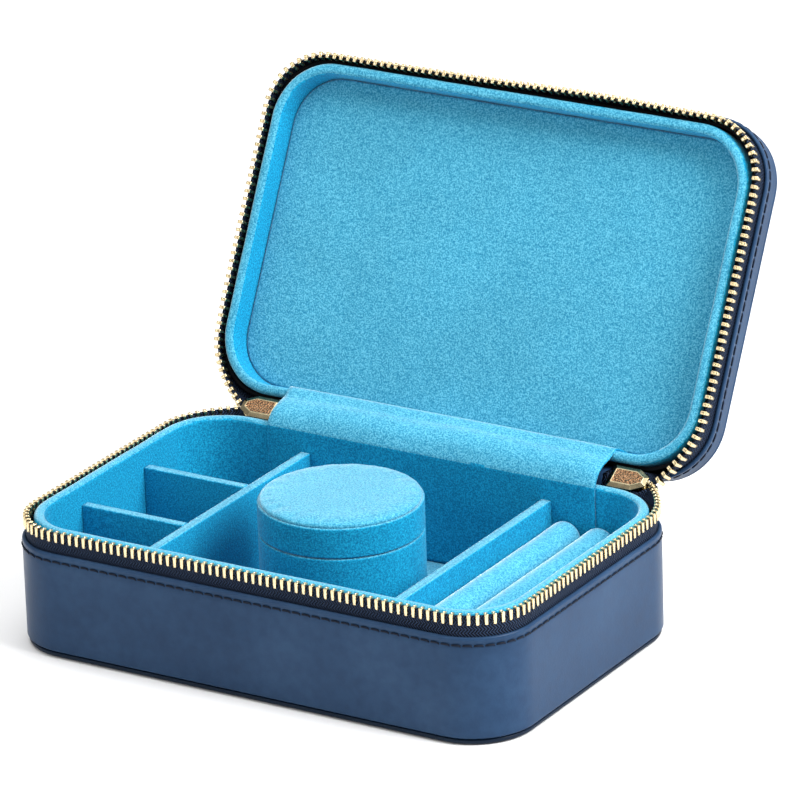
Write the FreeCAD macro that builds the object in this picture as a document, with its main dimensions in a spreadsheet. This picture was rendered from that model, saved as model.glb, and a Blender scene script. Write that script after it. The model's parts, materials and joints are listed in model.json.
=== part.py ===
import FreeCAD, Part
import math
import os
import Sketcher

# Zip-round leather jewellery case, in millimetres.
# Origin: centre of the base's footprint, on its underside. +X along the case, +Y to the hinge, +Z up.
# The lid is drawn closed above the base, then swung open about the hinge by lid_open_angle.

DIMENSIONS = [
    # outside
    ("case_width", 196.0, "width over the leather"),
    ("case_depth", 125.0, "depth over the leather"),
    ("case_round", 22.0, "corner radius of the leather"),
    ("leather_thick", 1.4, "leather of the side bands"),
    ("frame_wall", 1.7, "board behind the leather"),
    ("suede_thick", 0.9, "suede lining"),
    # base, levels above the underside
    ("bottom_inset", 0.6, "bottom panel inside the side band"),
    ("bottom_top", 1.6, "top of the bottom panel"),
    ("floor_board_top", 3.6, "top of the floor board"),
    ("lining_floor_top", 6.0, "top of the lined floor"),
    ("side_low", 2.2, "lower edge of the side band"),
    ("side_top", 38.0, "upper edge of the side band"),
    ("frame_top", 42.2, "upper edge of the base frame board"),
    ("tape_low", 30.0, "lower edge of the base zip tape"),
    ("tape_top", 44.0, "upper edge of the base zip tape"),
    ("tape_end_top", 41.5, "upper edge of the tape beside the hinge"),
    ("tape_thick", 0.6, "zip tape"),
    ("tray_round", 22.0, "corner radius of the lined rim, outside"),
    ("tray_wall", 3.7, "lined rim, outside face to inside face"),
    ("tray_top", 45.3, "top of the lined rim"),
    # dividers, ring rolls
    ("divider_top", 37.8, "top of every divider"),
    ("long_divider_x", 48.3, "long dividers, distance from the middle"),
    ("long_divider_thick", 3.8, "long dividers"),
    ("cross_divider_y", 19.3, "cross dividers, distance from the middle"),
    ("cross_divider_thick", 3.4, "cross dividers"),
    ("divider_gap", 0.1, "play at the ends of a divider"),
    ("roll_pitch", 13.6, "spacing of the ring rolls"),
    ("roll_width", 13.2, "width of a ring roll"),
    ("roll_crest", 33.0, "top of the ring rolls"),
    # hinge
    ("hinge_y", 64.3, "hinge axis behind the middle"),
    ("hinge_z", 47.0, "hinge axis, and the plane where the zip closes"),
    ("hinge_shift", 1.5, "flap, hinge leather and sliders sit to the right of the middle"),
    ("lid_open_angle", 117.7, "from closed to the stop"),
    ("flap_thick", 0.8, "suede flap over the hinge"),
    ("flap_half_width", 65.5, "half width of the flap"),
    ("spine_thick", 0.6, "hinge leather"),
    ("spine_half_width", 63.9, "half width of the hinge leather"),
    ("spine_dip", 0.6, "fold of the hinge leather, inside the hinge axis"),
    ("spine_free", 1.0, "hinge leather bends off this far past the side bands"),
    ("flap_gap", 0.02, "flap to the lined wall"),
    ("flap_trim", 0.1, "flap's ends short of the lined floor and lid panel"),
    ("flap_bow_back", 2.2, "start of the flap's bow, behind the lined wall"),
    ("flap_bow_up", 4.4, "start of the flap's bow, above the base rim"),
    ("flap_crown_back", 6.6, "crown of the flap's bow, behind the lined wall"),
    ("flap_crown_up", 7.1, "crown of the flap's bow, above the base rim"),
    ("flap_turn_in", 1.9, "flap stands off the lid's inner wall where it turns in"),
    ("flap_turn_up", 0.9, "flap turns in this far before the lid's rim"),
    ("flap_turn_down", 5.0, "flap lies flat again this far past the lid rim's face"),
    # lid, levels with the lid closed
    ("lid_tray_low", 48.5, "face of the lid's lined rim"),
    ("lid_tape_low", 50.0, "free edge of the lid zip tape"),
    ("lid_frame_low", 51.8, "free edge of the lid frame board"),
    ("lid_tape_end_low", 52.5, "free edge of the tape beside the hinge"),
    ("lid_side_low", 55.8, "free edge of the lid side band"),
    ("lid_panel_low", 57.9, "face of the recessed lid panel"),
    ("lid_panel_top", 59.9, "back of the recessed lid panel"),
    ("lid_padding_top", 62.4, "top of the lid padding"),
    ("lid_tape_high", 63.0, "hidden edge of the lid zip tape"),
    ("lid_board_top", 64.4, "top of the lid board and side band"),
    ("lid_top", 66.0, "top of the lid leather"),
    ("lid_edge_round", 1.0, "rounding of the lid's top edge"),
    # zip
    ("tooth_pitch", 2.8, "spacing of the teeth on one tape"),
    ("tooth_thick", 1.25, "tooth, along the tape"),
    ("tooth_depth", 2.3, "tooth, through the tape"),
    ("tooth_height", 3.6, "tooth, across the tape"),
    ("tooth_tip_gap", 0.7, "tooth tip to the closing plane"),
    ("tooth_line_inset", 1.7, "middle of the teeth inside the leather"),
    ("tooth_end_angle", 46.0, "last tooth, round the rear corner"),
    ("stop_x", 65.6, "end stops, distance from the middle of the hinge"),
    ("stop_size", 1.6, "end stops"),
    ("stop_overhang", 0.4, "end stops past the cut edge of the tape"),
    # sliders and pulls
    ("slider_x", 73.9, "sliders, distance from the middle of the hinge"),
    ("slider_drop", 0.4, "middle of a slider below the closing plane"),
    ("slider_back", 1.2, "middle of a slider behind the hinge axis"),
    ("slider_body", 10.4, "square part of a slider"),
    ("slider_nose", 4.0, "tapered part of a slider"),
    ("slider_width", 9.0, "slider, across the zip"),
    ("slider_nose_width", 4.0, "slider nose, across the zip"),
    ("slider_gap", 2.8, "between the plates of a slider"),
    ("slider_plate", 1.0, "slider plates, at their raised middle"),
    ("slider_rim", 0.4, "slider plates, at their edges"),
    ("slider_field_inset", 1.7, "raised middle inside the edges of a slider plate"),
    ("slider_lip", 0.9, "side walls of a slider, from each plate towards the tape"),
    ("bridge_reach", 2.5, "bridge bar above the slider's plate"),
    ("bridge_bar_round", 0.6, "radius of the bridge bar"),
    ("bridge_half_length", 3.6, "half the window under the bridge"),
    ("link_wire_round", 0.65, "radius of the link's wire"),
    ("link_half_width", 1.5, "link, bar centre to wire centre"),
    ("link_length", 7.0, "link, between its end centres"),
    ("tab_width", 6.0, "pull tab"),
    ("tab_length", 21.0, "pull tab below its hole"),
    ("tab_thick", 1.2, "pull tab"),
    ("tab_hole_round", 1.0, "radius of the hole in the pull tab"),
    # round capsule
    ("capsule_x", 0.3, "capsule to the right of the middle"),
    ("capsule_round", 28.3, "radius of the capsule"),
    ("capsule_wall", 2.0, "wall of the capsule"),
    ("capsule_low", 6.2, "underside of the capsule"),
    ("capsule_floor", 8.2, "inside floor of the capsule's board"),
    ("capsule_seam_low", 38.7, "top of the capsule's base"),
    ("capsule_seam_high", 38.9, "bottom of the capsule's lid"),
    ("capsule_neck_top", 44.0, "top of the neck inside the lid"),
    ("capsule_neck_wall", 1.2, "neck"),
    ("capsule_fit", 0.3, "neck to lid, on the radius"),
    ("capsule_lid_under", 48.0, "underside of the capsule lid's board"),
    ("capsule_lid_top", 49.7, "top of the capsule lid's band"),
    ("capsule_pad_inset", 0.3, "pad inside the capsule lid's band"),
    ("capsule_pad_top", 51.6, "top of the capsule's pad"),
    ("capsule_pad_edge", 1.2, "rounding of the pad's edge"),
    ("capsule_lining_thick", 0.9, "capsule lining discs"),
]

SHEET = "Dimensions"
SMALLEST_CUT = 1.0  # cubic millimetres that any pocket must take away
SAME_LEVEL = 1e-6
X_AXIS = FreeCAD.Vector(1, 0, 0)
Y_AXIS = FreeCAD.Vector(0, 1, 0)
Z_AXIS = FreeCAD.Vector(0, 0, 1)

document = FreeCAD.newDocument("JewelleryCase")
sheet = document.addObject("Spreadsheet::Sheet", SHEET)
for row, (alias, amount, note) in enumerate(DIMENSIONS, start=1):
    sheet.set(f"A{row}", note)
    sheet.set(f"B{row}", str(amount))
    sheet.setAlias(f"B{row}", alias)
document.recompute()

sub_parts = []


# ---------------------------------------------------------------- sums of sheet values
# A size is written as a sum of aliases, such as "leather_thick frame_wall -tape_thick".

def value(terms):
    amount = 0.0
    for term in terms.split():
        sign = -1.0 if term.startswith("-") else 1.0
        amount += sign * getattr(sheet, term.lstrip("-"))
    return amount


def formula(terms):
    text = ""
    for term in terms.split():
        sign = " - " if term.startswith("-") else " + "
        text += f"{sign}{SHEET}.{term.lstrip('-')}"
    return f"(0 mm{text.replace(SHEET, '1 mm * ' + SHEET)})"


# ---------------------------------------------------------------- placements

def about_hinge(angle):
    """Turn by angle about the hinge axis; a negative angle opens the lid."""
    axis_point = FreeCAD.Vector(0, value("hinge_y"), value("hinge_z"))
    return FreeCAD.Placement(FreeCAD.Vector(0, 0, 0), FreeCAD.Rotation(X_AXIS, angle), axis_point)


IN_PLACE = FreeCAD.Placement()
LID_OPEN = about_hinge(-value("lid_open_angle"))
SLIDER_OPEN = about_hinge(-value("lid_open_angle") / 2)


def keep(label, shape_object, placement=IN_PLACE):
    """Name a finished sub-part and put it where it belongs."""
    shape_object.Label = label
    shape_object.Placement = placement.multiply(shape_object.Placement)
    sub_parts.append(shape_object)
    return shape_object


# ---------------------------------------------------------------- bodies made from sketches

def new_body(name):
    return document.addObject("PartDesign::Body", name + "_body")


def sketch_on(body, role, level):
    plane = [item for item in body.Origin.OriginFeatures if item.Role == role][0]
    sketch = body.newObject("Sketcher::SketchObject", "Sketch")
    sketch.AttachmentSupport = [(plane, "")]
    sketch.MapMode = "FlatFace"
    sketch.setExpression("AttachmentOffset.Base.z", formula(level))
    return sketch


def bind(sketch, constraint, expression):
    index = sketch.addConstraint(constraint)
    sketch.setExpression(f"Constraints[{index}]", expression)


def rounded_rectangle(sketch, inset, radius):
    """The case's outline, moved in by inset, with the given corner radius."""
    half_x = value("case_width") / 2 - value(inset)
    half_y = value("case_depth") / 2 - value(inset)
    bend = value(radius)
    start_x, start_y = half_x - bend, half_y - bend
    ends = [
        ((-start_x, -half_y), (start_x, -half_y)),
        ((half_x, -start_y), (half_x, start_y)),
        ((start_x, half_y), (-start_x, half_y)),
        ((-half_x, start_y), (-half_x, -start_y)),
    ]
    centres = [(start_x, -start_y), (start_x, start_y), (-start_x, start_y), (-start_x, -start_y)]
    lines = []
    for begin, end in ends:
        segment = Part.LineSegment(FreeCAD.Vector(*begin, 0), FreeCAD.Vector(*end, 0))
        lines.append(sketch.addGeometry(segment))
    arcs = []
    for turn, centre in enumerate(centres):
        circle = Part.Circle(FreeCAD.Vector(*centre, 0), Z_AXIS, bend)
        first = (turn - 1) * math.pi / 2
        arcs.append(sketch.addGeometry(Part.ArcOfCircle(circle, first, first + math.pi / 2)))
    for turn in range(4):
        following = lines[(turn + 1) % 4]
        sketch.addConstraint(Sketcher.Constraint("Tangent", lines[turn], 2, arcs[turn], 1))
        sketch.addConstraint(Sketcher.Constraint("Tangent", arcs[turn], 2, following, 1))
    for front_or_back in (lines[0], lines[2]):
        sketch.addConstraint(Sketcher.Constraint("Horizontal", front_or_back))
    for side in (lines[1], lines[3]):
        sketch.addConstraint(Sketcher.Constraint("Vertical", side))
    for other in arcs[1:]:
        sketch.addConstraint(Sketcher.Constraint("Equal", arcs[0], other))
    wide = f"1 mm * {SHEET}.case_width / 2 - {formula(inset)}"
    deep = f"1 mm * {SHEET}.case_depth / 2 - {formula(inset)}"
    bind(sketch, Sketcher.Constraint("Radius", arcs[0], bend), formula(radius))
    bind(sketch, Sketcher.Constraint("DistanceY", lines[0], 1, -1, 1, half_y), deep)
    bind(sketch, Sketcher.Constraint("DistanceX", -1, 1, lines[1], 1, half_x), wide)
    bind(sketch, Sketcher.Constraint("DistanceY", -1, 1, lines[2], 1, half_y), deep)
    bind(sketch, Sketcher.Constraint("DistanceX", lines[3], 1, -1, 1, half_x), wide)


def rectangle(sketch, x_low, x_high, y_low, y_high):
    """An upright rectangle; each side's distance from the origin is a sum of sheet values."""
    left, right, low, high = value(x_low), value(x_high), value(y_low), value(y_high)
    corners = [(left, low), (right, low), (right, high), (left, high)]
    lines = []
    for turn in range(4):
        begin = FreeCAD.Vector(*corners[turn], 0)
        end = FreeCAD.Vector(*corners[(turn + 1) % 4], 0)
        lines.append(sketch.addGeometry(Part.LineSegment(begin, end)))
    for turn in range(4):
        following = lines[(turn + 1) % 4]
        sketch.addConstraint(Sketcher.Constraint("Coincident", lines[turn], 2, following, 1))
    sketch.addConstraint(Sketcher.Constraint("Horizontal", lines[0]))
    sketch.addConstraint(Sketcher.Constraint("Horizontal", lines[2]))
    sketch.addConstraint(Sketcher.Constraint("Vertical", lines[1]))
    sketch.addConstraint(Sketcher.Constraint("Vertical", lines[3]))
    bind(sketch, Sketcher.Constraint("DistanceX", -1, 1, lines[3], 2, left), formula(x_low))
    bind(sketch, Sketcher.Constraint("DistanceX", -1, 1, lines[1], 1, right), formula(x_high))
    bind(sketch, Sketcher.Constraint("DistanceY", -1, 1, lines[0], 1, low), formula(y_low))
    bind(sketch, Sketcher.Constraint("DistanceY", -1, 1, lines[2], 1, high), formula(y_high))


def pad(body, sketch, low, high):
    feature = body.newObject("PartDesign::Pad", "Pad")
    feature.Profile = sketch
    feature.setExpression("Length", f"{formula(high)} - {formula(low)}")
    document.recompute()
    return feature


def pocket(body, sketch, low, high, upwards):
    before = body.Shape.Volume
    feature = body.newObject("PartDesign::Pocket", "Pocket")
    feature.Profile = sketch
    feature.Reversed = upwards
    feature.setExpression("Length", f"{formula(high)} - {formula(low)}")
    document.recompute()
    if body.Shape.Volume > before - SMALLEST_CUT:
        raise RuntimeError(f"{body.Name}: the pocket cuts nothing")
    return feature


def plate(name, inset, radius, low, high):
    body = new_body(name)
    sketch = sketch_on(body, "XY_Plane", low)
    rounded_rectangle(sketch, inset, radius)
    pad(body, sketch, low, high)
    return body


def ring(name, outer, outer_radius, inner, inner_radius, low, high):
    body = new_body(name)
    sketch = sketch_on(body, "XY_Plane", low)
    rounded_rectangle(sketch, outer, outer_radius)
    rounded_rectangle(sketch, inner, inner_radius)
    pad(body, sketch, low, high)
    return body


def ring_pocket(body, outer, outer_radius, inner, inner_radius, low, high, upwards):
    sketch = sketch_on(body, "XY_Plane", low if upwards else high)
    rounded_rectangle(sketch, outer, outer_radius)
    rounded_rectangle(sketch, inner, inner_radius)
    return pocket(body, sketch, low, high, upwards)


# ---------------------------------------------------------------- insets of the wall's layers

LEATHER_IN = "leather_thick"
LEATHER_IN_ROUND = "case_round -leather_thick"
TAPE_IN = "leather_thick tape_thick"
TAPE_IN_ROUND = "case_round -leather_thick -tape_thick"
FRAME_IN = "leather_thick frame_wall"
FRAME_IN_ROUND = "case_round -leather_thick -frame_wall"
TRAY_CORE_OUT = FRAME_IN + " suede_thick"
TRAY_CORE_OUT_ROUND = "tray_round -suede_thick"
TRAY_IN = FRAME_IN + " tray_wall"
TRAY_IN_ROUND = "tray_round -tray_wall"
TRAY_CORE_IN = TRAY_IN + " -suede_thick"
TRAY_CORE_IN_ROUND = "tray_round -tray_wall suede_thick"
NOTHING = "hinge_y -hinge_y"


# ---------------------------------------------------------------- shells shared by base and lid

def side_band(name, low, high, placement=IN_PLACE):
    keep(name, ring(name, NOTHING, "case_round", LEATHER_IN, LEATHER_IN_ROUND, low, high), placement)


def frame_board(name, low, high, rebate_low, rebate_high, placement=IN_PLACE):
    """Board behind the leather, thinned by the tape's thickness where the tape is sewn in."""
    body = ring(name, LEATHER_IN, LEATHER_IN_ROUND, FRAME_IN, FRAME_IN_ROUND, low, high)
    upwards = placement is LID_OPEN
    layers = (LEATHER_IN, LEATHER_IN_ROUND, TAPE_IN, TAPE_IN_ROUND)
    ring_pocket(body, *layers, rebate_low, rebate_high, upwards)
    keep(name, body, placement)


def zip_tape(name, low, high, end_low, end_high, placement=IN_PLACE):
    """Tape round three sides; open behind, and cut down beside the sliders."""
    body = ring(name, LEATHER_IN, LEATHER_IN_ROUND, TAPE_IN, TAPE_IN_ROUND, low, high)
    gap = sketch_on(body, "XY_Plane", high)
    rectangle(gap, "hinge_shift -spine_half_width -tape_thick",
              "hinge_shift spine_half_width tape_thick", NOTHING, "hinge_y")
    pocket(body, gap, low, high, False)
    ends = sketch_on(body, "XY_Plane", end_high)
    rectangle(ends, "-case_width", "case_width", "hinge_y -case_round", "hinge_y")
    pocket(body, ends, end_low, end_high, False)
    keep(name, body, placement)


def lined_rim(name, low, high, placement=IN_PLACE):
    """Board ring with the suede wrapped over its free edge as one channel."""
    lid = placement is LID_OPEN
    skin = ring(name + "_suede", FRAME_IN, "tray_round", TRAY_IN, TRAY_IN_ROUND, low, high)
    core_low = low + " suede_thick" if lid else low
    core_high = high if lid else high + " -suede_thick"
    layers = (TRAY_CORE_OUT, TRAY_CORE_OUT_ROUND, TRAY_CORE_IN, TRAY_CORE_IN_ROUND)
    ring_pocket(skin, *layers, core_low, core_high, not lid)
    keep(name + "_suede", skin, placement)
    keep(name + "_board", ring(name + "_board", *layers, core_low, core_high), placement)


# ---------------------------------------------------------------- base

def make_base():
    bottom_round = "case_round -bottom_inset"
    bottom = plate("base_bottom_panel", "bottom_inset", bottom_round, NOTHING, "bottom_top")
    keep("base_bottom_panel", bottom)
    side_band("base_side_leather", "side_low", "side_top")
    frame_board("base_frame_board", "bottom_top", "frame_top", "tape_low", "frame_top")
    floor_board = plate("base_floor_board", FRAME_IN, FRAME_IN_ROUND, "bottom_top", "floor_board_top")
    keep("base_floor_board", floor_board)
    lined_rim("base_lining_wall", "floor_board_top", "tray_top")
    floor = plate("base_lining_floor", TRAY_IN, TRAY_IN_ROUND, "floor_board_top", "lining_floor_top")
    keep("base_lining_floor", floor)
    zip_tape("base_zip_tape", "tape_low", "tape_top", "tape_end_top", "tape_top")


def bound_box(name, sizes):
    """A Part box; sizes gives an expression for each of its lengths and its position."""
    box = document.addObject("Part::Box", name + "_box")
    for prop, expression in sizes.items():
        box.setExpression(prop, expression)
    return box


def half_room(size, insets):
    """Expression for half of the case's width or depth, less the given insets."""
    return f"(1 mm * {SHEET}.{size} / 2 - {formula(insets)})"


def make_dividers():
    tall = f"{formula('divider_top')} - {formula('lining_floor_top')}"
    half_inside = half_room("case_depth", TRAY_IN + " flap_thick divider_gap")
    wall_inside = half_room("case_width", TRAY_IN + " divider_gap")
    half_thick = f"{formula('long_divider_thick')} / 2"
    for side, name in ((-1, "divider_left_long"), (1, "divider_right_long")):
        middle = f"{side} * {formula('long_divider_x')}"
        box = bound_box(name, {
            "Length": formula("long_divider_thick"),
            "Width": f"2 * {half_inside}",
            "Height": tall,
            "Placement.Base.x": f"{middle} - {half_thick}",
            "Placement.Base.y": f"-1 * {half_inside}",
            "Placement.Base.z": formula("lining_floor_top"),
        })
        keep(name, box)
    left_face = f"({formula('long_divider_x divider_gap')} + {half_thick})"
    for side, name in ((-1, "divider_cross_front"), (1, "divider_cross_back")):
        middle = f"{side} * {formula('cross_divider_y')}"
        box = bound_box(name, {
            "Length": f"{wall_inside} - {left_face}",
            "Width": formula("cross_divider_thick"),
            "Height": tall,
            "Placement.Base.x": f"-1 * {wall_inside}",
            "Placement.Base.y": f"{middle} - {formula('cross_divider_thick')} / 2",
            "Placement.Base.z": formula("lining_floor_top"),
        })
        keep(name, box)


def make_ring_rolls():
    """Upright padded rolls with half-round tops, trimmed to the rounded corners of the room."""
    room = plate("ring_roll_room", TRAY_IN + " divider_gap", TRAY_IN_ROUND + " -divider_gap",
                 "floor_board_top", "tray_top")
    half_inside = half_room("case_depth", TRAY_IN + " flap_thick divider_gap")
    shoulder = f"({formula('roll_crest')} - {formula('roll_width')} / 2)"
    first = f"({formula('long_divider_x')} + {formula('long_divider_thick')} / 2)"
    for count, name in enumerate(("ring_roll_inner", "ring_roll_middle", "ring_roll_outer")):
        middle = f"({first} + ({count} + 0.5) * {formula('roll_pitch')})"
        box = bound_box(name, {
            "Length": formula("roll_width"),
            "Width": f"2 * {half_inside}",
            "Height": f"{shoulder} - {formula('lining_floor_top')}",
            "Placement.Base.x": f"{middle} - {formula('roll_width')} / 2",
            "Placement.Base.y": f"-1 * {half_inside}",
            "Placement.Base.z": formula("lining_floor_top"),
        })
        top = document.addObject("Part::Cylinder", name + "_top")
        top.setExpression("Radius", f"{formula('roll_width')} / 2")
        top.setExpression("Height", f"2 * {half_inside}")
        top.Placement.Rotation = FreeCAD.Rotation(X_AXIS, 90)
        top.setExpression("Placement.Base.x", middle)
        top.setExpression("Placement.Base.y", half_inside)
        top.setExpression("Placement.Base.z", shoulder)
        upright = document.addObject("Part::Fuse", name + "_fuse")
        upright.Base = box
        upright.Tool = top
        upright.Refine = True
        roll = document.addObject("Part::Common", name + "_trimmed")
        roll.Base = upright
        roll.Tool = room
        keep(name, roll)


# ---------------------------------------------------------------- lid, drawn closed

def make_lid():
    side_band("lid_side_leather", "lid_side_low", "lid_board_top", LID_OPEN)
    top = plate("lid_top_leather", NOTHING, "case_round", "lid_board_top", "lid_top")
    slab = top.Tip
    upper = value("lid_top")
    rim = [f"Edge{number}" for number, item in enumerate(slab.Shape.Edges, start=1)
           if abs(item.BoundBox.ZMin - upper) < SAME_LEVEL]
    edge = top.newObject("PartDesign::Fillet", "EdgeRound")
    edge.Base = (slab, rim)
    edge.setExpression("Radius", formula("lid_edge_round"))
    top.Tip = edge
    keep("lid_top_leather", top, LID_OPEN)
    frame_board("lid_frame_board", "lid_frame_low", "lid_board_top",
                "lid_frame_low", "lid_tape_high", LID_OPEN)
    board = plate("lid_top_board", FRAME_IN, FRAME_IN_ROUND, "lid_padding_top", "lid_board_top")
    keep("lid_top_board", board, LID_OPEN)
    padding = plate("lid_padding", TRAY_IN, TRAY_IN_ROUND, "lid_panel_top", "lid_padding_top")
    keep("lid_padding", padding, LID_OPEN)
    panel = plate("lid_lining_panel", TRAY_IN, TRAY_IN_ROUND, "lid_panel_low", "lid_panel_top")
    keep("lid_lining_panel", panel, LID_OPEN)
    lined_rim("lid_lining_rim", "lid_tray_low", "lid_padding_top", LID_OPEN)
    zip_tape("lid_zip_tape", "lid_tape_low", "lid_tape_high",
             "lid_tape_low", "lid_tape_end_low", LID_OPEN)


# ---------------------------------------------------------------- hinge leather and flap

def strip_across(points, thickness, half_width):
    """A strip of even thickness along a profile of (y, z), centred on the hinge's middle."""
    left, right = [], []
    for index, (y, z) in enumerate(points):
        before = points[max(index - 1, 0)]
        after = points[min(index + 1, len(points) - 1)]
        run_in = FreeCAD.Vector(0, y - before[0], z - before[1])
        run_out = FreeCAD.Vector(0, after[0] - y, after[1] - z)
        if run_in.Length == 0:
            run_in = run_out
        if run_out.Length == 0:
            run_out = run_in
        run_in.normalize()
        run_out.normalize()
        along = (run_in + run_out).normalize()
        miter = thickness / 2 / along.dot(run_in)
        normal = FreeCAD.Vector(0, -along.z, along.y)
        here = FreeCAD.Vector(value("hinge_shift") - half_width, y, z)
        left.append(here + normal * miter)
        right.append(here - normal * miter)
    outline = Part.makePolygon(left + right[::-1] + [left[0]])
    return Part.Face(outline).extrude(X_AXIS * 2 * half_width)


def opened(y, z):
    """Where a point of the closed lid lies once the lid is open."""
    moved = LID_OPEN.multVec(FreeCAD.Vector(0, y, z))
    return (moved.y, moved.z)


def add_shape(name, shape, placement=IN_PLACE):
    feature = document.addObject("Part::Feature", name + "_shape")
    feature.Shape = shape
    keep(name, feature, placement)


def make_hinge_leather():
    """Sewn in behind both side bands, and folded over the hinge axis."""
    thick = value("spine_thick")
    layer = value("case_depth") / 2 - value(LEATHER_IN) - thick / 2
    fold = value("hinge_y -spine_dip")
    profile = [
        (layer, value("tape_low")),
        (layer, value("side_top spine_free")),
        (fold, value("hinge_z") - thick),
        opened(fold, value("hinge_z") + thick),
        opened(layer, value("lid_side_low -spine_free")),
        opened(layer, value("lid_tape_high")),
    ]
    add_shape("hinge_spine_leather", strip_across(profile, thick, value("spine_half_width")))


def make_hinge_flap():
    """Glued down the rear lining wall, bows over both rims and ends on the lid's panel."""
    thick = value("flap_thick")
    wall = value("case_depth") / 2 - value(TRAY_IN) - thick / 2 - value("flap_gap")
    profile = [
        (wall, value("lining_floor_top flap_trim")),
        (wall, value("tray_top")),
        (wall + value("flap_bow_back"), value("tray_top flap_bow_up")),
        (wall + value("flap_crown_back"), value("tray_top flap_crown_up")),
        opened(wall - value("flap_turn_in"), value("lid_tray_low -flap_turn_up")),
        opened(wall, value("lid_tray_low flap_turn_down")),
        opened(wall, value("lid_panel_low -flap_trim")),
    ]
    add_shape("hinge_flap_suede", strip_across(profile, thick, value("flap_half_width")))


# ---------------------------------------------------------------- zip teeth, stops, sliders, pulls

def tooth_places():
    """(x, y, angle) of every tooth: left rear corner, left side, front, right side, right rear corner."""
    inset = value("tooth_line_inset")
    half_x = value("case_width") / 2 - inset
    half_y = value("case_depth") / 2 - inset
    bend = value("case_round") - inset
    flat_x, flat_y = half_x - bend, half_y - bend
    corner = bend * math.pi / 2
    end_arc = bend * math.radians(value("tooth_end_angle"))
    # From the middle of the front, one half of the path; the other half is its mirror image.
    length = flat_x + corner + 2 * flat_y + end_arc
    count = int(length / value("tooth_pitch"))
    places = []
    for index in range(count):
        travel = (index + 0.5) * value("tooth_pitch")
        if travel < flat_x:
            x, y, angle = travel, -half_y, 0.0
        elif travel < flat_x + corner:
            angle = (travel - flat_x) / bend
            x, y = flat_x + bend * math.sin(angle), -flat_y - bend * math.cos(angle)
        elif travel < flat_x + corner + 2 * flat_y:
            x, y, angle = half_x, -flat_y + travel - flat_x - corner, math.pi / 2
        else:
            turn = (travel - flat_x - corner - 2 * flat_y) / bend
            angle = math.pi / 2 + turn
            x, y = flat_x + bend * math.cos(turn), flat_y + bend * math.sin(turn)
        places.append((x, y, math.degrees(angle)))
        places.append((-x, y, -math.degrees(angle)))
    return places


def row_of_teeth(low):
    """Plain teeth standing on the path, each centred on the tape."""
    thick, deep, tall = value("tooth_thick"), value("tooth_depth"), value("tooth_height")
    teeth = []
    for x, y, angle in tooth_places():
        tooth = Part.makeBox(thick, deep, tall, FreeCAD.Vector(-thick / 2, -deep / 2, low))
        tooth.Placement = FreeCAD.Placement(FreeCAD.Vector(x, y, 0), FreeCAD.Rotation(Z_AXIS, angle))
        teeth.append(tooth)
    return Part.makeCompound(teeth)


def pair_of_stops(low):
    """The metal stops that end the zip, one on each side of the hinge leather."""
    side = value("stop_size")
    y = value("case_depth") / 2 - value(TAPE_IN)
    stops = []
    for x in (value("hinge_shift -stop_x"), value("hinge_shift stop_x")):
        stops.append(Part.makeBox(side, side, side, FreeCAD.Vector(x - side / 2, y, low)))
    return Part.makeCompound(stops)


def make_zip_rows():
    gap, tall = value("tooth_tip_gap"), value("tooth_height")
    closing = value("hinge_z")
    add_shape("base_zip_teeth", row_of_teeth(closing - gap - tall))
    add_shape("lid_zip_teeth", row_of_teeth(closing + gap), LID_OPEN)
    add_shape("base_zip_stops", pair_of_stops(value("tape_end_top stop_overhang -stop_size")))
    add_shape("lid_zip_stops", pair_of_stops(value("lid_tape_end_low -stop_overhang")), LID_OPEN)


def local_box(name, x, y, z, length, width, height):
    """A Part box of the slider; the lengths are expressions, the corner is in the slider's own frame."""
    box = bound_box(name, {"Length": length, "Width": width, "Height": height})
    box.Placement.Base = FreeCAD.Vector(x, y, z)
    return box


def shield(name, inset, y, thickness):
    """A slider plate or its raised middle: a box and a tapered nose, moved in by inset."""
    body, nose = value("slider_body"), value("slider_nose")
    tail = -(body + nose) / 2
    wide, nose_wide = value("slider_width") - 2 * inset, value("slider_nose_width") - inset
    box = local_box(name + "_plate", tail + inset, y, -wide / 2,
                    f"{body - inset}", f"{thickness}", f"{wide}")
    taper = document.addObject("Part::Wedge", name + "_nose")
    taper.Xmin, taper.Xmax = -wide / 2, wide / 2
    taper.Zmin, taper.Zmax = 0.0, thickness
    taper.Ymin, taper.Ymax = 0.0, nose - inset
    taper.X2min, taper.X2max = -nose_wide / 2, nose_wide / 2
    taper.Z2min, taper.Z2max = 0.0, thickness
    swing = FreeCAD.Matrix(0, 1, 0, tail + body, 0, 0, 1, y, 1, 0, 0, 0, 0, 0, 0, 1)
    taper.Placement = FreeCAD.Placement(swing)
    return [box, taper]


def slider_middle(side):
    return value("hinge_shift") + side * value("slider_x")


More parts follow.
